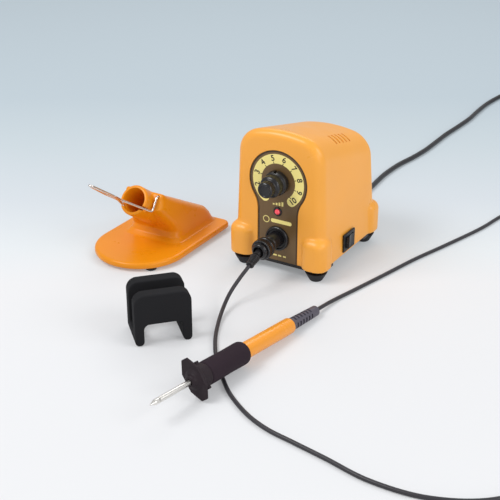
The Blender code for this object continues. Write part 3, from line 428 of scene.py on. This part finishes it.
IRON_ROUTE = [
    (-1.2, -100.6, 20.9), (-2.3, -105.6, 17.4), (-3.4, -110.9, 13.5), (-3.7, -117.2, 9.8),
    (-2.4, -125.2, 6.6), (0.4, -134.8, 4.1), (4.6, -145.8, 2.4),
    (12.4, -162.2, 1.6), (20.0, -175.0, 1.6), (28.0, -186.6, 1.6), (38.0, -198.6, 1.6),
    (50.1, -211.6, 1.6), (63.9, -224.4, 1.6), (83.8, -237.4, 1.6), (103.0, -245.0, 1.6),
    (123.0, -248.6, 1.6), (148.0, -253.0, 1.6), (180.0, -259.0, 1.6), (215.0, -256.0, 1.6),
    (247.0, -239.0, 1.6), (268.0, -208.0, 1.6), (274.0, -165.0, 1.6), (262.0, -110.0, 1.6),
    (243.0, -50.0, 1.6), (228.0, 15.0, 1.6), (217.0, 80.0, 1.6), (208.0, 140.0, 1.6),
    (194.0, 183.0, 1.6), (169.0, 204.0, 1.6), (143.0, 196.0, 1.6), (126.0, 172.0, 1.6),
    (118.0, 142.0, 1.6), (111.7, 108.7, 1.6), (98.2, 61.7, 1.6), (86.9, 25.1, 1.6),
    (77.4, -12.7, 1.6), (68.2, -48.4, 1.6), (63.7, -66.0, 1.8), (61.4, -80.0, 2.7),
]
MAINS_ROUTE = [
    (-6.1, 88.0, 18.4), (-6.6, 102.0, 12.6), (-7.4, 117.0, 6.4), (-8.3, 131.0, 3.2),
    (-9.2, 146.0, 2.5), (-10.6, 163.0, 2.5), (-11.6, 182.0, 2.5), (-10.4, 210.0, 2.5),
    (-6.4, 236.0, 2.5), (-3.8, 262.0, 2.5), (-3.4, 290.0, 2.5), (-3.2, 318.0, 2.5),
    (-1.4, 348.0, 2.5), (-0.2, 378.0, 2.5), (-1.4, 408.0, 2.5), (-1.6, 438.0, 2.5),
    (1.2, 468.0, 2.5), (5.2, 488.0, 2.5), (8.4, 502.0, 2.5),
]
TAIL_ROUTE = [(72.3, 502.2, 7.1), (72.9, 495.0, 6.0), (73.6, 488.0, 4.6), (73.8, 482.6, 4.0)]
SPLIT_NEAR = Vector((98.2, 61.7, 1.6))  # where the pen's stretch of cord starts
IRON_CORD_R, MAINS_CORD_R = 1.5, 2.35


def smooth_route(points, spacing):
    """Evenly spaced points on a smooth curve through the route's own points."""
    pts = [Vector(p) for p in points]
    pts = [2 * pts[0] - pts[1], *pts, 2 * pts[-1] - pts[-2]]
    fine = []
    for a, b, c, d in zip(pts, pts[1:], pts[2:], pts[3:]):
        for k in range(24):
            t = k / 24
            fine.append(0.5 * (2 * b + (c - a) * t + (2 * a - 5 * b + 4 * c - d) * t * t
                               + (3 * b - a - 3 * c + d) * t ** 3))
    fine.append(pts[-2])
    steps = [(q - p).length for p, q in zip(fine, fine[1:])]
    count = max(2, round(sum(steps) / spacing))
    result = [fine[0]]
    walked = 0.0
    for p, q, step in zip(fine, fine[1:], steps):
        while len(result) < count and walked + step >= sum(steps) * len(result) / count:
            share = (sum(steps) * len(result) / count - walked) / step
            result.append(p.lerp(q, share))
        walked += step
    result.append(fine[-1])
    return result


def swept(points, radius, sides=20):
    """A round bar along the points, capped at both ends."""
    rings = []
    along = (points[1] - points[0]).normalized()
    side = along.orthogonal().normalized()
    for i, p in enumerate(points):
        before, after = points[max(i - 1, 0)], points[min(i + 1, len(points) - 1)]
        along = (after - before).normalized()
        side = (side - along * side.dot(along)).normalized()
        up = along.cross(side)
        rings.append([p + radius * (side * math.cos(a) + up * math.sin(a))
                      for a in (2 * math.pi * k / sides for k in range(sides))])
    return loft(rings)


def coil_points():
    """Two turns inward on the table, half a turn that climbs, and two turns outward on top."""
    points = []
    r_start, r_low, r_turn, r_end = 31.3, 21.6, 19.2, 31.2
    low_z, high_z = 2.5, 7.3
    steps = 24
    for k in range(2 * steps):
        r = r_start + (r_low - r_start) * k / (2 * steps)
        points.append((math.pi - 2 * math.pi * k / steps, r, low_z))
    for k in range(steps // 2):
        t = k / (steps // 2)
        z = low_z + (high_z - low_z) * t ** 3.6
        points.append((math.pi * (1 - t), r_low + (r_turn - r_low) * t, z))
    for k in range(2 * steps + 1):
        r = r_turn + (r_end - r_turn) * k / (2 * steps)
        points.append((-2 * math.pi * k / steps, r, high_z))
    return [COIL_AT + Vector((r * math.cos(a), r * math.sin(a), z)) for a, r, z in points]


def make_cords():
    start = [BOOT_ROOT + BOOT_AXIS * s for s in (9.0, 16.0, 20.0)]
    end = [PEN_POINT + PEN_AXIS * s for s in (RELIEF_END + 4, RELIEF_END, RELIEF_END - 7)]
    route = smooth_route([*start, *IRON_ROUTE, *end], 4.0)
    split = min(range(len(route)), key=lambda i: (route[i] - SPLIT_NEAR).length)
    main, last = route[:split + 1], route[split:]
    cord = piece("iron_cord_main", swept(main, IRON_CORD_R), IRON_CORD, "station", instead=["iron_cord"])
    tail = piece("iron_cord_end", swept(last, IRON_CORD_R), IRON_CORD, "pen")
    tail.parent = None
    tail.matrix_world = Matrix.Identity(4)
    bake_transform(tail)

    bush_axis = [(-6.0, 58.0, 20.0), (-6.0, 71.0, 20.0)]
    lead = smooth_route([*bush_axis, *MAINS_ROUTE, *coil_points(), *TAIL_ROUTE], 3.0)
    mains = piece("mains_cord_whole", swept(lead, MAINS_CORD_R), MAINS_CORD, "station",
                  instead=["mains_cord", "mains_coil", "mains_tail"])


make_cords()


# ---------------------------------------------------------------- station

FRONT_Y, REAR_Y, FLOOR_CLEAR = -51.6, 47.5, 10.5
HALF_WIDTH, SHOULDER_HALF_WIDTH, SHOULDER_Z, SHOULDER_R = 41.0, 37.6, 98.0, 20.6
ROOF_FALL, REAR_LEAN = 0.216, 6.5
CROWN_ANGLE = math.radians(78)
CROWN_SLOPE = math.cos(CROWN_ANGLE) / math.sin(CROWN_ANGLE)
EDGE_R, WALL = 8.0, 3.2
LOBE_X, LOBE_FRONT_Y, LOBE_REAR_Y, LOBE_HALF, LOBE_CORNER_R = 32.5, -46.0, 40.0, 11.0, 8.5
LOBE_TOP, LOBE_DOME = 37.0, 7.0
DIAL_Z, LAMP_Z, SOCKET_Z = 78.3, 53.3, 30.4
PANEL_R, PANEL_HALF_WIDTH, PANEL_WAIST_R = 25.4, 17.8, 22.0
DIAL_BORE_R, LAMP_BORE_R, SOCKET_BORE_R, BUSH_BORE_R = 4.2, 3.7, 8.5, 5.3
SWITCH_Y, SWITCH_Z = -7.5, 21.0
MAINS_X, MAINS_Z = -6.0, 20.0
VENTS, VENT_PITCH, VENT_START_Y, VENT_HALF = 5, 5.9, -15.0, 1.0
BAND_INNER_R, BAND_OUTER_R, NUMBER_R, NUMBER_SIZE, NUMBER_STEP = 14.9, 22.6, 19.2, 6.6, 30.2


def arch(inset, y, bottom):
    radius = SHOULDER_R - inset
    centre_x = SHOULDER_HALF_WIDTH - SHOULDER_R
    back = (y - FRONT_Y) / (REAR_Y - FRONT_Y)
    shoulder_z = SHOULDER_Z - ROOF_FALL * (y - FRONT_Y)
    half = [(HALF_WIDTH - inset, bottom)]
    half += arc(centre_x, shoulder_z, radius, 0, math.degrees(CROWN_ANGLE), 18)
    edge_x, edge_z = half[-1]
    for share in (0.85, 0.7, 0.55, 0.4, 0.2):
        x = edge_x * share
        half.append((x, edge_z + CROWN_SLOPE * (edge_x ** 2 - x ** 2) / (2 * edge_x)))
    top = [(0.0, edge_z + CROWN_SLOPE * edge_x / 2)]
    outline = half + top + [(-x, z) for x, z in reversed(half)]
    lean = back * REAR_LEAN / (SHOULDER_Z - FLOOR_CLEAR)
    return [Vector((x, y - lean * (z - bottom), z)) for x, z in outline]


def keyhole_outline(clear, bottom):
    radius = PANEL_R + clear
    half = PANEL_HALF_WIDTH + clear
    waist_r = PANEL_WAIST_R - clear
    drop = math.sqrt((radius + waist_r) ** 2 - (half + waist_r) ** 2)
    turn = math.degrees(math.asin(drop / (radius + waist_r)))
    right = arc(0, DIAL_Z, radius, 90, -turn, 40)[1:]
    right += arc(half + waist_r, DIAL_Z - drop, waist_r, 180 - turn, 180, 14)[1:]
    right.append((half, bottom))
    return [(0.0, DIAL_Z + radius), *right, *[(-x, z) for x, z in reversed(right)]]


def keyhole(clear, y0, y1, bottom):
    outline = keyhole_outline(clear, bottom)
    return loft([[Vector((x, y, z)) for x, z in outline] for y in (y0, y1)])


def lobe(x, y):
    rings = [(0.0, FLOOR_CLEAR), (0.0, LOBE_TOP - LOBE_DOME)]
    for degrees in (10, 20, 30, 40, 50, 60, 70, 80):
        a = math.radians(degrees)
        rings.append((LOBE_DOME * (1 - math.cos(a)), LOBE_TOP - LOBE_DOME * (1 - math.sin(a))))
    result = []
    for inset, z in rings:
        h = LOBE_HALF - inset
        radius = max(LOBE_CORNER_R - inset * 0.7, 1.5)
        result.append([Vector((x + px, y + py, z)) for px, py in rounded_rect(-h, -h, h, h, radius, 8)])
    return loft(result)


def hole(radius, x, z, y0, y1, sides=48):
    return moved(turned([(radius, 0), (radius, y1 - y0)], sides), (x, y1, z), OUT)


def front_bores(back_y):
    """The dial's, the lamp's and the socket's bores, from before the front back to back_y."""
    return [hole(r, 0, z, FRONT_Y - 2, back_y)
            for r, z in ((DIAL_BORE_R, DIAL_Z), (LAMP_BORE_R, LAMP_Z), (SOCKET_BORE_R, SOCKET_Z))]


def vent(side, k):
    """A narrow slot across the shoulder."""
    y = VENT_START_Y + VENT_PITCH * k
    cx, cz = SHOULDER_HALF_WIDTH - SHOULDER_R, SHOULDER_Z - ROOF_FALL * (y - FRONT_Y)
    rings = []
    for i in range(9):
        angle = math.radians(72 - 28 * i / 8)
        rings.append([Vector((side * (cx + r * math.cos(angle)), y + dy, cz + r * math.sin(angle)))
                      for r, dy in ((15.0, -VENT_HALF), (15.0, VENT_HALF), (23.0, VENT_HALF),
                                    (23.0, -VENT_HALF))])
    return loft(rings)


def make_casing():
    steps = [math.radians(a) for a in (0, 11.25, 22.5, 33.75, 45, 56.25, 67.5, 78.75, 90)]
    front = [(EDGE_R * (1 - math.sin(a)), FRONT_Y + EDGE_R * (1 - math.cos(a))) for a in steps]
    rear = [(EDGE_R * (1 - math.sin(a)), REAR_Y - EDGE_R * (1 - math.cos(a))) for a in reversed(steps)]
    shell = loft([arch(inset, y, FLOOR_CLEAR) for inset, y in front + rear])
    spots = [(x, y) for x in (-LOBE_X, LOBE_X) for y in (LOBE_FRONT_Y, LOBE_REAR_Y)]
    shell = melted(join(shell, *[lobe(x, y) for x, y in spots]), 0.9, 9)
    hollow = loft([arch(WALL, y, FLOOR_CLEAR - 5) for y in (FRONT_Y + WALL, REAR_Y - WALL)])
    tools = [
        keyhole(0.35, FRONT_Y - 5, PANEL_Y + 1.5, FLOOR_CLEAR - 20),
        *front_bores(FRONT_Y + WALL + 2),
        hole(BUSH_BORE_R, MAINS_X, MAINS_Z, REAR_Y - WALL - 3, REAR_Y + 2),
        block((34.0, SWITCH_Y - 8.4, SWITCH_Z - 6.4), (46.0, SWITCH_Y + 8.4, SWITCH_Z + 6.4)),
    ]
    vents = [vent(side, k) for side in (-1, 1) for k in range(VENTS)]
    shell = cut(shell, hollow, *tools, *vents)
    piece("casing_shell", shell, ORANGE, "station", instead=["casing"], angle=40)


def make_panel():
    """A plate, with a dark band just inside its edge that is painted shade of the groove round the plate."""
    rings = [[Vector((x, y, z)) for x, z in keyhole_outline(inset, FLOOR_CLEAR + 0.2)]
             for inset, y in ((0.0, PANEL_Y + 1.2), (0.0, PANEL_Y + 0.25), (-0.25, PANEL_Y))]
    plate = loft(rings)
    plate = cut(plate, *front_bores(FRONT_Y + 5))
    piece("panel_plate", plate, BROWN, "station", instead=["front_panel"])
    # the dark band along the plate's edge is painted shade: it stands for the shadow in the groove between
    # plate and casing
    rows = [[Vector((x, PANEL_Y + dy, z)) for x, z in keyhole_outline(clear, FLOOR_CLEAR + 0.3)]
            for clear, dy in ((-0.3, -0.05), (-1.2, -0.05), (-1.2, 0.3), (-0.3, 0.3))]
    piece("panel_border_painted_shade", loft(rows, closed=True), PANEL_GROOVE_SHADE, "station")


def print_on_panel(outline, raised=0.06, sink=0.3):
    """A printed shape on the panel, from (x, z) points."""
    return loft([[Vector((x, y, z)) for x, z in outline] for y in (PANEL_Y - raised, PANEL_Y + sink)])


def band(inner, outer, start, end, steps):
    """An arc band with round ends, angles clockwise from the top."""
    middle, half = (inner + outer) / 2, (outer - inner) / 2

    def cap(angle, a):
        return (middle * math.cos(angle) + half * math.cos(a), middle * math.sin(angle) + half * math.sin(a))

    points = []
    for k in range(steps + 1):
        a = math.radians(90 - (start + (end - start) * k / steps))
        points.append((outer * math.cos(a), outer * math.sin(a)))
    last = math.radians(90 - end)
    for k in range(1, 10):
        points.append(cap(last, last - math.pi * k / 10))
    for k in range(steps + 1):
        a = math.radians(90 - (end + (start - end) * k / steps))
        points.append((inner * math.cos(a), inner * math.sin(a)))
    first = math.radians(90 - start)
    for k in range(1, 10):
        points.append(cap(first, first + math.pi - math.pi * k / 10))
    return points


def numeral(text, size):
    """A number as a flat mesh, centred on the origin in X and Y."""
    curve = bpy.data.curves.new("numeral", "FONT")
    curve.body = text
    curve.size = size
    curve.align_x = "CENTER"
    curve.align_y = "CENTER"
    curve.extrude = 0.05
    curve.bevel_depth = 0.1
    curve.bevel_resolution = 0
    obj = bpy.data.objects.new("numeral", curve)
    bpy.context.scene.collection.objects.link(obj)
    return settled(obj)


def make_scale():
    arc_points = [(x, DIAL_Z + z) for x, z in band(BAND_INNER_R, BAND_OUTER_R, -141.0, 141.0, 72)]
    piece("dial_band", print_on_panel(arc_points), CREAM, "station")
    marks = bmesh.new()
    scratch = bpy.data.meshes.new("scratch")
    for n in range(1, 11):
        angle = math.radians((n - 5.5) * NUMBER_STEP)
        spin = Matrix.Rotation(angle, 4, "Y")
        flip = n in (1, 10)
        figure = numeral(str(n), NUMBER_SIZE)
        figure.transform(Matrix.Rotation(math.pi / 2, 4, "X"))
        if flip:
            figure.transform(Matrix.Rotation(math.pi, 4, "Y"))
        figure.transform(Matrix.Translation((0, PANEL_Y - 0.1, NUMBER_R)))
        tick = block((-0.28, PANEL_Y - 0.16, BAND_INNER_R), (0.28, PANEL_Y - 0.02, 16.4))
        for part in (figure, tick):
            part.transform(spin)
            part.transform(Matrix.Translation((0, 0, DIAL_Z)))
            part.to_mesh(scratch)
            part.free()
            marks.from_mesh(scratch)
    piece("dial_numbers", marks, INK, "station")


def make_print():
    """Plain marks where the set carries words: four rising bars, a ring with a bar, and three dashes."""
    shapes = []
    for k in range(4):
        x, top = -4.6 + 2.6 * k, 59.6 + 0.8 * k
        shapes.append(print_on_panel([(x, 58.4), (x + 1.6, 58.4), (x + 1.6, top), (x, top)]))
    ring = [[Vector((-10.4 + r * math.cos(a), PANEL_Y + dy, 44.8 + r * math.sin(a)))
             for r, dy in ((2.9, -0.06), (2.3, -0.06), (2.3, 0.3), (2.9, 0.3))]
            for a in (2 * math.pi * k / 32 for k in range(32))]
    shapes.append(loft(ring, closed=True))
    shapes.append(print_on_panel([(x, z) for x, z in rounded_rect(-6.2, 43.2, 12.4, 46.4, 1.5, 5)]))
    for x0, x1 in ((-4.2, -0.6), (0.6, 3.6), (5.2, 7.8)):
        shapes.append(print_on_panel([(x0, 14.6), (x1, 14.6), (x1, 15.9), (x0, 15.9)]))
    whole = bmesh.new()
    scratch = bpy.data.meshes.new("scratch")
    for shape in shapes:
        shape.to_mesh(scratch)
        shape.free()
        whole.from_mesh(scratch)
    piece("panel_marks", whole, CREAM, "station")


def make_dial():
    base, end = 0.8, 21.5
    profile = [(0.0, base + 0.01), (9.4, base), (10.0, base + 0.7), (9.8, base + 4.5), (8.2, base + 5.4),
               (8.1, base + 7.0), (8.9, base + 7.8), (8.8, base + 12.4), (7.9, base + 13.4),
               (6.4, base + 14.2), (6.4, end - 0.9), (5.4, end), (4.6, end - 0.05), (4.3, end - 0.35),
               (0.0, end - 0.4)]
    knob = turned([(max(r, 0.01), z) for r, z in softened(profile, 0.55)], 72)
    notch = block((-1.1, 10.0 - 2.6, base - 1), (1.1, 12.0, base + 5.0))
    bore = turned([(3.3, base - 1), (3.3, 14.1)], 32)
    room = turned([(7.6, base - 1), (7.6, 4.6)], 32)
    piece("knob", cut(knob, notch, bore, room), BLACK, "dial", (0, PANEL_Y, DIAL_Z), OUT,
          instead=["dial_knob"])


def make_lamp():
    at = (0, PANEL_Y, LAMP_Z)
    rim = [(2.5, 1.1), (3.4, 1.0), (3.9, 0.3), (3.4, 0.3), (3.4, -5.0), (2.5, -5.0)]
    piece("lamp_ring", turned(softened(rim, 0.2, True), 40, True), BLACK, "station", at, OUT,
          instead=["lamp_holder"])
    dome = [(2.2, -6.0), (2.2, 1.0)] + [(2.2 * math.cos(a), 1.0 + 1.5 * math.sin(a))
                                       for a in (0.2, 0.45, 0.7, 0.95, 1.2, 1.4, 1.53)]
    piece("lamp_dome", turned(dome, 32), RED, "station", at, OUT, instead=["lamp_lens"])


def ribbed(count, depth):
    """A radius wave with rounded teeth."""
    return lambda a, z: 1.0 - depth * (0.5 - 0.5 * math.cos(count * a))


def make_plug():
    at = (0, PANEL_Y, SOCKET_Z)
    flange = [(8.5, 0.3), (10.4, 0.3), (10.1, 2.0), (9.3, 2.6), (8.5, 2.6)]
    piece("socket_rim", turned(softened(flange, 0.4, True), 64, True), BLACK, "station", at, OUT,
          instead=["socket_flange"])
    start, end = 18.5, 27.0
    shell = [(5.7, -6.0), (6.3, -5.4), (6.3, 13.6), (5.9, 14.0), (5.9, 14.6), (6.3, 15.0), (6.3, start - 0.8),
             (5.7, start - 0.3), (5.1, start - 0.3), (5.1, end + 0.3), (6.7, end + 0.3), (6.5, end + 1.7),
             (5.6, end + 3.0), (4.3, end + 3.5), (4.3, end - 0.4)]
    piece("plug_barrel", turned(softened(shell, 0.35), 56), BLACK, "station", at, OUT,
          instead=["plug_shell"])
    ring = [(5.4, start), (7.9, start), (8.4, start + 0.7), (8.4, start + 2.4), (7.8, start + 2.8),
            (7.8, start + 3.3), (8.4, start + 3.7), (8.4, end - 0.9), (7.9, end), (5.4, end)]
    teeth = ribbed(36, 0.035)
    grip = turned(softened(ring, 0.25, True), 216, True,
                  wave=lambda a, z: teeth(a, z) if z > start + 3.5 else 1.0)
    piece("plug_collar", grip, BLACK, "ring", at, OUT, instead=["plug_ring"])
    boot = [(2.0, 0.0), (2.9, 0.0), (2.9, 4.8), (3.9, 6.2)]
    for k in range(5):
        z, r = 6.6 + k * 1.4, 3.9 - k * 0.18
        boot += [(r, z), (r, z + 0.75), (r - 0.5, z + 0.95), (r - 0.5, z + 1.25)]
    boot += [(3.2, 13.8), (3.3, 14.2), (3.3, 15.5), (2.8, 16.0), (2.0, 16.0)]
    piece("cord_boot", turned(softened(boot, 0.2, True), 40, True), BLACK_SATIN, "station", BOOT_ROOT,
          facing(BOOT_AXIS), instead=["plug_boot"])


def make_switch():
    at = (0, SWITCH_Y, SWITCH_Z)
    face = HALF_WIDTH - 0.01
    sideways = facing((1.0, 0.0, 0.0))

    def plate(half_y, half_z, r, x0, x1, soft=0.0):
        rings = []
        for inset, x in ((0.0, x0), (0.0, x1 - soft), (soft, x1)):
            rings.append([Vector((py, pz, x)) for py, pz in
                          rounded_rect(-half_y + inset, -half_z + inset, half_y - inset, half_z - inset,
                                       max(r - inset, 0.2), 5)])
        return loft(rings)

    rim = plate(9.75, 7.75, 1.0, face + 0.2, face + 1.3, 0.4)
    box = plate(8.1, 6.1, 0.4, face - 11.6, face + 1.0)
    well = plate(7.0, 5.0, 0.4, face - 10.0, face + 6.0)
    frame_bm = cut(join(rim, box), well)
    piece("switch_bezel", moved(frame_bm, turn=sideways), BLACK_SATIN, "station", at,
          instead=["switch_frame"])
    half, deep = 6.1, 4.7
    outline = [(4.3, -half), (3.7, -half * 0.66), (3.25, -half * 0.33), (3.1, 0.0),
               (3.25, half * 0.33), (3.7, half * 0.66), (4.3, half), (0.6, half),
               (-3.0, half * 0.66), (-4.0, 0.0), (-3.0, -half * 0.66), (0.6, -half)]
    rocker = prism(outline, -deep, deep)
    piece("switch_key", rocker, BLACK, "rocker", (face - 1.4, SWITCH_Y, SWITCH_Z),
          Matrix.Rotation(math.radians(9), 3, "Z"), instead=["switch_rocker"], angle=25)


def make_bush():
    bush = [(2.65, -6.2), (5.0, -6.2), (5.0, 0.0), (7.0, 0.0), (7.0, 1.8), (6.0, 2.6)]
    for k in range(7):
        z = 5.0 + k * 2.7
        r = 5.7 - k * 0.26
        bush += [(r, z - 0.9), (r, z), (r - 1.1, z + 0.3), (r - 1.1, z + 1.3)]
    bush += [(3.9, 25.0), (3.6, 26.0), (2.65, 26.0)]
    piece("cord_bush", turned(softened(bush, 0.25, True), 40, True), BLACK_SATIN, "station",
          (MAINS_X, 47.6, MAINS_Z), facing((0.0, 1.0, 0.0)), instead=["mains_bush"])


make_casing()
make_panel()
make_scale()
make_print()
make_dial()
make_lamp()
make_plug()
make_switch()
make_bush()


# ---------------------------------------------------------------- pen

def make_pen():
    tip = [(0.01, 0.0), (0.5, 0.0), (0.95, 1.7), (1.1, 2.3), (1.9, 4.1), (1.95, 4.6), (1.95, 7.9),
           (0.85, 7.9), (0.85, 17.5)]
    piece("iron_tip", turned(softened(tip, 0.3), 40), STEEL, "tip", PEN_POINT, PEN_TURN,
          instead=["pen_tip"])
    rod = [(1.15, 8.2), (1.95, 8.2), (1.95, 58.0), (1.15, 58.0)]
    piece("iron_rod", turned(softened(rod, 0.12, True), 40, True), STEEL, "pen", PEN_POINT, PEN_TURN,
          instead=["pen_rod"])
    hub = turned([(3.2, 37.6), (4.2, 38.4), (4.8, 40.2), (7.6, 42.0), (8.6, 43.9), (8.2, 44.5),
                  (8.2, 52.0)], 48)
    wings = prism([(-2.4, -15.0), (2.4, -15.0), (8.0, -6.4), (8.0, 6.4), (2.4, 15.0), (-2.4, 15.0),
                   (-8.0, 6.4), (-8.0, -6.4)], 42.0, 44.1)
    lugs = prism([(-2.2, -10.0), (2.2, -10.0), (2.2, 10.0), (-2.2, 10.0)], 48.4, 51.3)
    shape = melted(join(hub, wings, lugs), 0.3, 4)
    shape = cut(shape, turned([(2.25, 32.0), (2.25, 56.0)], 40))
    piece("guard", shape, GUARD, "pen", PEN_POINT, PEN_TURN, instead=["finger_guard"])
    grip = [(6.3, 52.3), (7.7, 52.3), (8.4, 53.5), (8.4, 62.0), (8.25, 70.0), (8.2, 78.0), (8.4, 89.5),
            (8.3, 92.0), (7.6, 93.4), (6.3, 93.5)]
    sleeve = piece("grip", turned(softened(grip, 0.9, True), 64, True), GRIP, "pen", PEN_POINT, PEN_TURN,
                   instead=["pen_grip"])
    handle = [(4.0, 60.0), (6.0, 60.0), (6.0, 148.2), (5.3, 149.0), (4.0, 149.0)]
    facets = turned(softened(handle, 0.5, True), 96, True,
                    wave=lambda a, z: 1.0 - 0.022 * abs(math.sin(4 * a)))
    piece("handle", facets, PEN_ORANGE, "pen", PEN_POINT, PEN_TURN, instead=["pen_handle"])
    relief = [(1.8, 141.0), (3.7, 141.0), (3.7, 149.3), (4.75, 149.3), (4.0, 181.8), (3.4, RELIEF_END),
              (1.8, RELIEF_END)]
    body = turned(softened(relief, 0.5, True), 48, True)
    slots = []
    for row in range(4):
        for k in range(6):
            z = 152.6 + k * 3.75
            slot = block((-2.35, 2.9, z), (2.35, 7.0, z + 1.75))
            slots.append(moved(slot, turn=Matrix.Rotation(math.radians(45 + 90 * row), 3, "Z")))
    piece("relief", cut(body, *slots), RELIEF, "pen", PEN_POINT, PEN_TURN, instead=["pen_strain_relief"])


make_pen()


# ---------------------------------------------------------------- holder

HOLDER_AT = Vector((-115.5, -75.0, 0.0))
TUBE_TILT = math.radians(35)
TUBE_MOUTH = Vector((0.0, -9.2, 49.9))
TUBE_OUT = Vector((0.0, -math.cos(TUBE_TILT), math.sin(TUBE_TILT)))
TUBE_DOWN = Vector((0.0, -math.sin(TUBE_TILT), -math.cos(TUBE_TILT)))


def along_tube(x, forward, below):
    return TUBE_MOUTH + Vector((x, 0, 0)) + TUBE_OUT * forward + TUBE_DOWN * below


def base_outline(inset):
    radius = 39.5 - inset
    outline = arc(0, 0, radius, 180, 360, 60)
    outline += arc(radius - 7 + inset, 70.0, 7 - inset, 0, 90, 8)
    outline += arc(-radius + 7 - inset, 70.0, 7 - inset, 90, 180, 8)
    return outline


def make_holder():
    levels = ((1.2, 2.2), (0.0, 3.5), (0.0, 5.9), (0.35, 6.7), (1.0, 7.4), (1.9, 7.8))
    base = loft([[Vector((x, y, z)) for x, y in base_outline(inset)] for inset, z in levels])
    levels = ((6.8, 7.5, 75.4, 28.4), (8.5, 10.5, 74.2, 27.2), (11.0, 14.0, 73.0, 25.6),
              (16.0, 15.5, 70.6, 24.8), (21.0, 13.2, 66.0, 23.9), (30.0, 6.4, 49.0, 22.4),
              (41.0, -2.6, 28.5, 20.4), (47.0, 1.6, 17.0, 19.4), (51.0, 4.5, 9.6, 18.6),
              (52.4, 5.8, 7.6, 17.6))
    rings = []
    for z, front, rear, half in levels:
        radius = min(9.0, (rear - front) / 2.2)
        rings.append([Vector((x, y, z)) for x, y in rounded_rect(-half, front, half, rear, radius, 8)])
    pedestal = loft(rings)
    turn = facing(TUBE_OUT)
    outer = [(12.7, -52.0), (12.7, -1.2), (12.2, -0.3), (11.7, 0.0)]
    receptacle = moved(turned(outer, 64), TUBE_MOUTH, turn)
    body = melted(join(base, pedestal, receptacle), 0.6, 5)
    bore = moved(turned([(9.9, -46.0), (9.9, -1.0), (10.6, 0.6), (10.6, 4.0)], 64), TUBE_MOUTH, turn)
    notch = moved(block((-20, -4.85 - 1.7, -5.5), (20, -4.85 + 1.7, 6)), TUBE_MOUTH, turn)
    sockets = []
    for side in (-1, 1):
        pocket = turned([(1.3, 0), (1.3, 12)], 20)
        sockets.append(moved(pocket, along_tube(side * 14.9, -14.6, -8.6), turn))
    body = cut(body, bore, notch, *sockets)
    piece("holder_shell", body, HOLDER_ORANGE, "holder", HOLDER_AT, instead=["holder_body"],
          angle=40)
    corners = []
    for side in (1, -1):
        leg = [(14.9, -14.3, -8.6), (14.9, -8.8, -8.6), (14.9, -8.8, 4.85), (1.4, 20.0, 4.85),
               (4.2, 33.0, 4.85), (3.6, 43.0, 4.85), (1.35, 60.8, 4.85)]
        points = [along_tube(side * x, t, s) + HOLDER_AT for x, t, s in leg]
        corners += points if side > 0 else list(reversed(points))
    piece("wire", swept(filleted(corners, 2.6, 8), 1.0, 20), CHROME, "holder", instead=["wire_clip"],
          angle=60)


def filleted(points, radius, steps):
    result = [points[0]]
    for before, corner, after in zip(points, points[1:], points[2:]):
        reach = min(radius, (before - corner).length / 2.2, (after - corner).length / 2.2)
        start = corner + (before - corner).normalized() * reach
        end = corner + (after - corner).normalized() * reach
        for k in range(steps + 1):
            t = k / steps
            result.append((1 - t) ** 2 * start + 2 * t * (1 - t) * corner + t * t * end)
    result.append(points[-1])
    return result


make_holder()


# ---------------------------------------------------------------- rest

def make_rest():
    width, depth, height, plate, corner_r, leg = 41.5, 32.0, 40.0, 9.5, 8.0, 6.8
    half, foot_r = width / 2, leg / 2
    inner = half - leg
    right = arc(half - foot_r, foot_r, foot_r, -90, 0, 10)
    right += arc(half - corner_r, height - corner_r, corner_r, 0, 90, 16)
    under = arc(inner - 4, 16.5 - 4, 4, 90, 0, 8)
    under += arc(half - foot_r, foot_r, foot_r, -180, -90, 8)[:-1]
    outline = right + [(-x, z) for x, z in reversed(right)]
    outline += [(-x, z) for x, z in reversed(under)] + under
    body = loft([[Vector((x, y, z)) for x, z in outline] for y in (-depth / 2, depth / 2)])
    gap = depth / 2 - plate
    channel = block((-half - 2, -gap, 9.0), (half + 2, gap, height + 5))
    body = melted(cut(body, channel), 0.6, 7)
    block_piece = piece("rest", body, FOAM, "rest", (-25.0, -178.8, 0.0),
                        Matrix.Rotation(math.radians(46.9), 3, "Z"), instead=["rest_block"],
                        angle=60)


make_rest()
